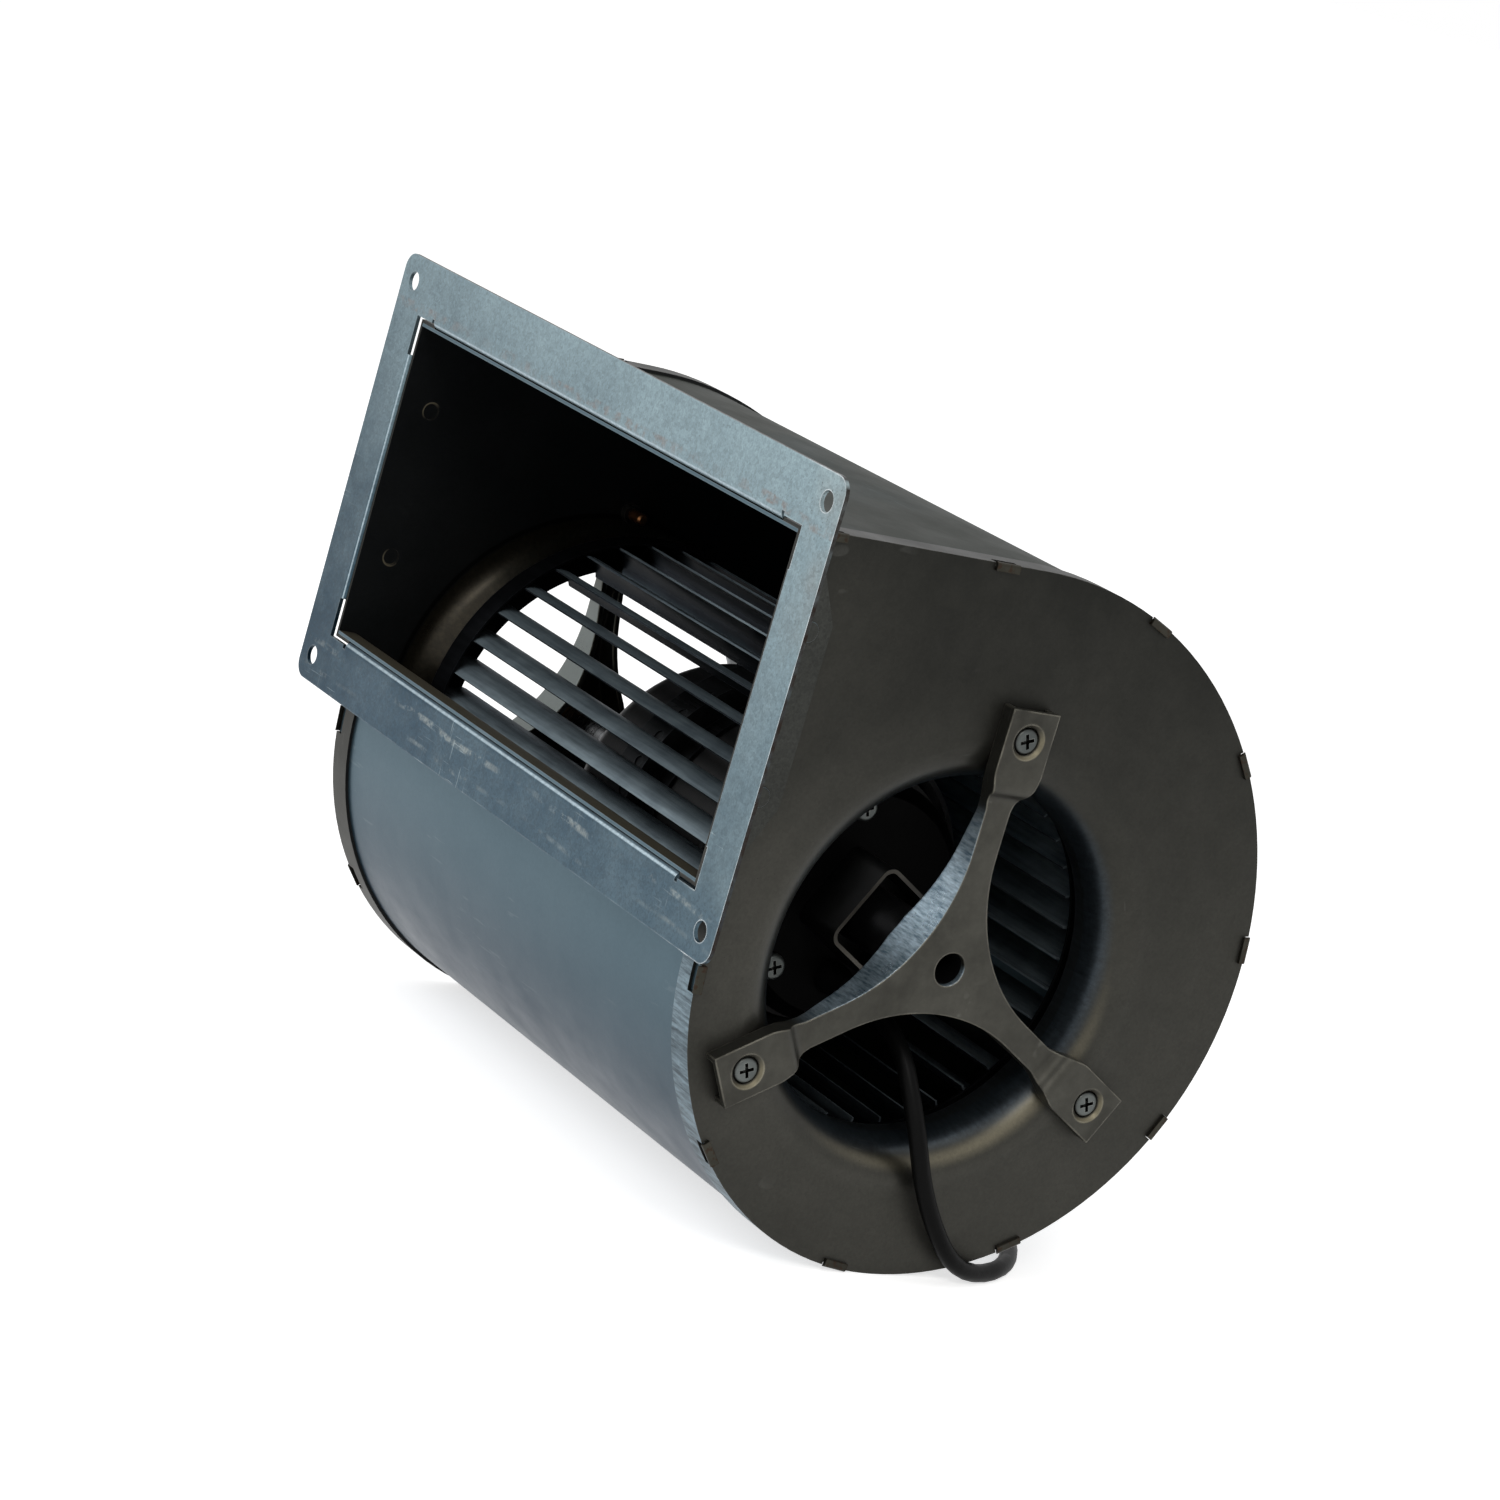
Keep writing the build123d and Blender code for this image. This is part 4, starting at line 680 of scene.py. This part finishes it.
REACH = 30  # half the floor's side
corners = [(-REACH, -REACH, FLOOR_Z), (REACH, -REACH, FLOOR_Z), (REACH, REACH, FLOOR_Z),
           (-REACH, REACH, FLOOR_Z)]
floor_mesh = bpy.data.meshes.new("floor")
floor_mesh.from_pydata(corners, [], [(0, 1, 2, 3)])
floor = bpy.data.objects.new("floor", floor_mesh)
bpy.context.scene.collection.objects.link(floor)

# Floor and world glow white only for the camera and in reflections, and light the part less
paint = Look("floor_white")
rays = paint.new("LightPath").outputs
seen = paint.most(rays["Is Camera Ray"], rays["Is Glossy Ray"])
paint.set(Base_Color=(0.80, 0.80, 0.80, 1.0), Roughness=0.9, Specular_IOR_Level=0.1,
          Emission_Color=(1, 1, 1, 1), Emission_Strength=paint.both(seen, 0.68))
floor_mesh.materials.append(paint.material)

world = bpy.data.worlds.new("studio")
bpy.context.scene.world = world
world.use_nodes = True
sky = Tree(world.node_tree)
rays = sky.new("LightPath").outputs
seen = sky.most(sky.most(rays["Is Camera Ray"], rays["Is Glossy Ray"]),
                rays["Is Transmission Ray"])
backdrop = sky.new("Background", Color=(1, 1, 1, 1), Strength=sky.span(seen, 0, 1, 0.45, 1.0))
sky.put(sky.new("OutputWorld").inputs["Surface"], backdrop.outputs[0])


def area_light(name, place, size, power, colour):
    """A square light aimed at the middle of the blower."""
    data = bpy.data.lights.new(name, "AREA")
    data.shape = "SQUARE"
    data.size = size
    data.energy = power
    data.color = colour
    lamp = bpy.data.objects.new(name, data)
    bpy.context.scene.collection.objects.link(lamp)
    lamp.location = place
    aim = Vector((0, 0.09, -0.03)) - Vector(place)
    lamp.rotation_euler = aim.to_track_quat("-Z", "Y").to_euler()


area_light("key", (-0.45, -0.85, 0.55), size=0.6, power=5, colour=(0.95, 0.98, 1.0))
area_light("top", (0.3, 0.3, 1.8), size=1.2, power=5, colour=(1.0, 1.0, 1.0))
area_light("side", (1.3, -0.5, 0.9), size=0.5, power=6, colour=(1.0, 0.98, 0.95))
bpy.context.scene.view_settings.view_transform = "Standard"
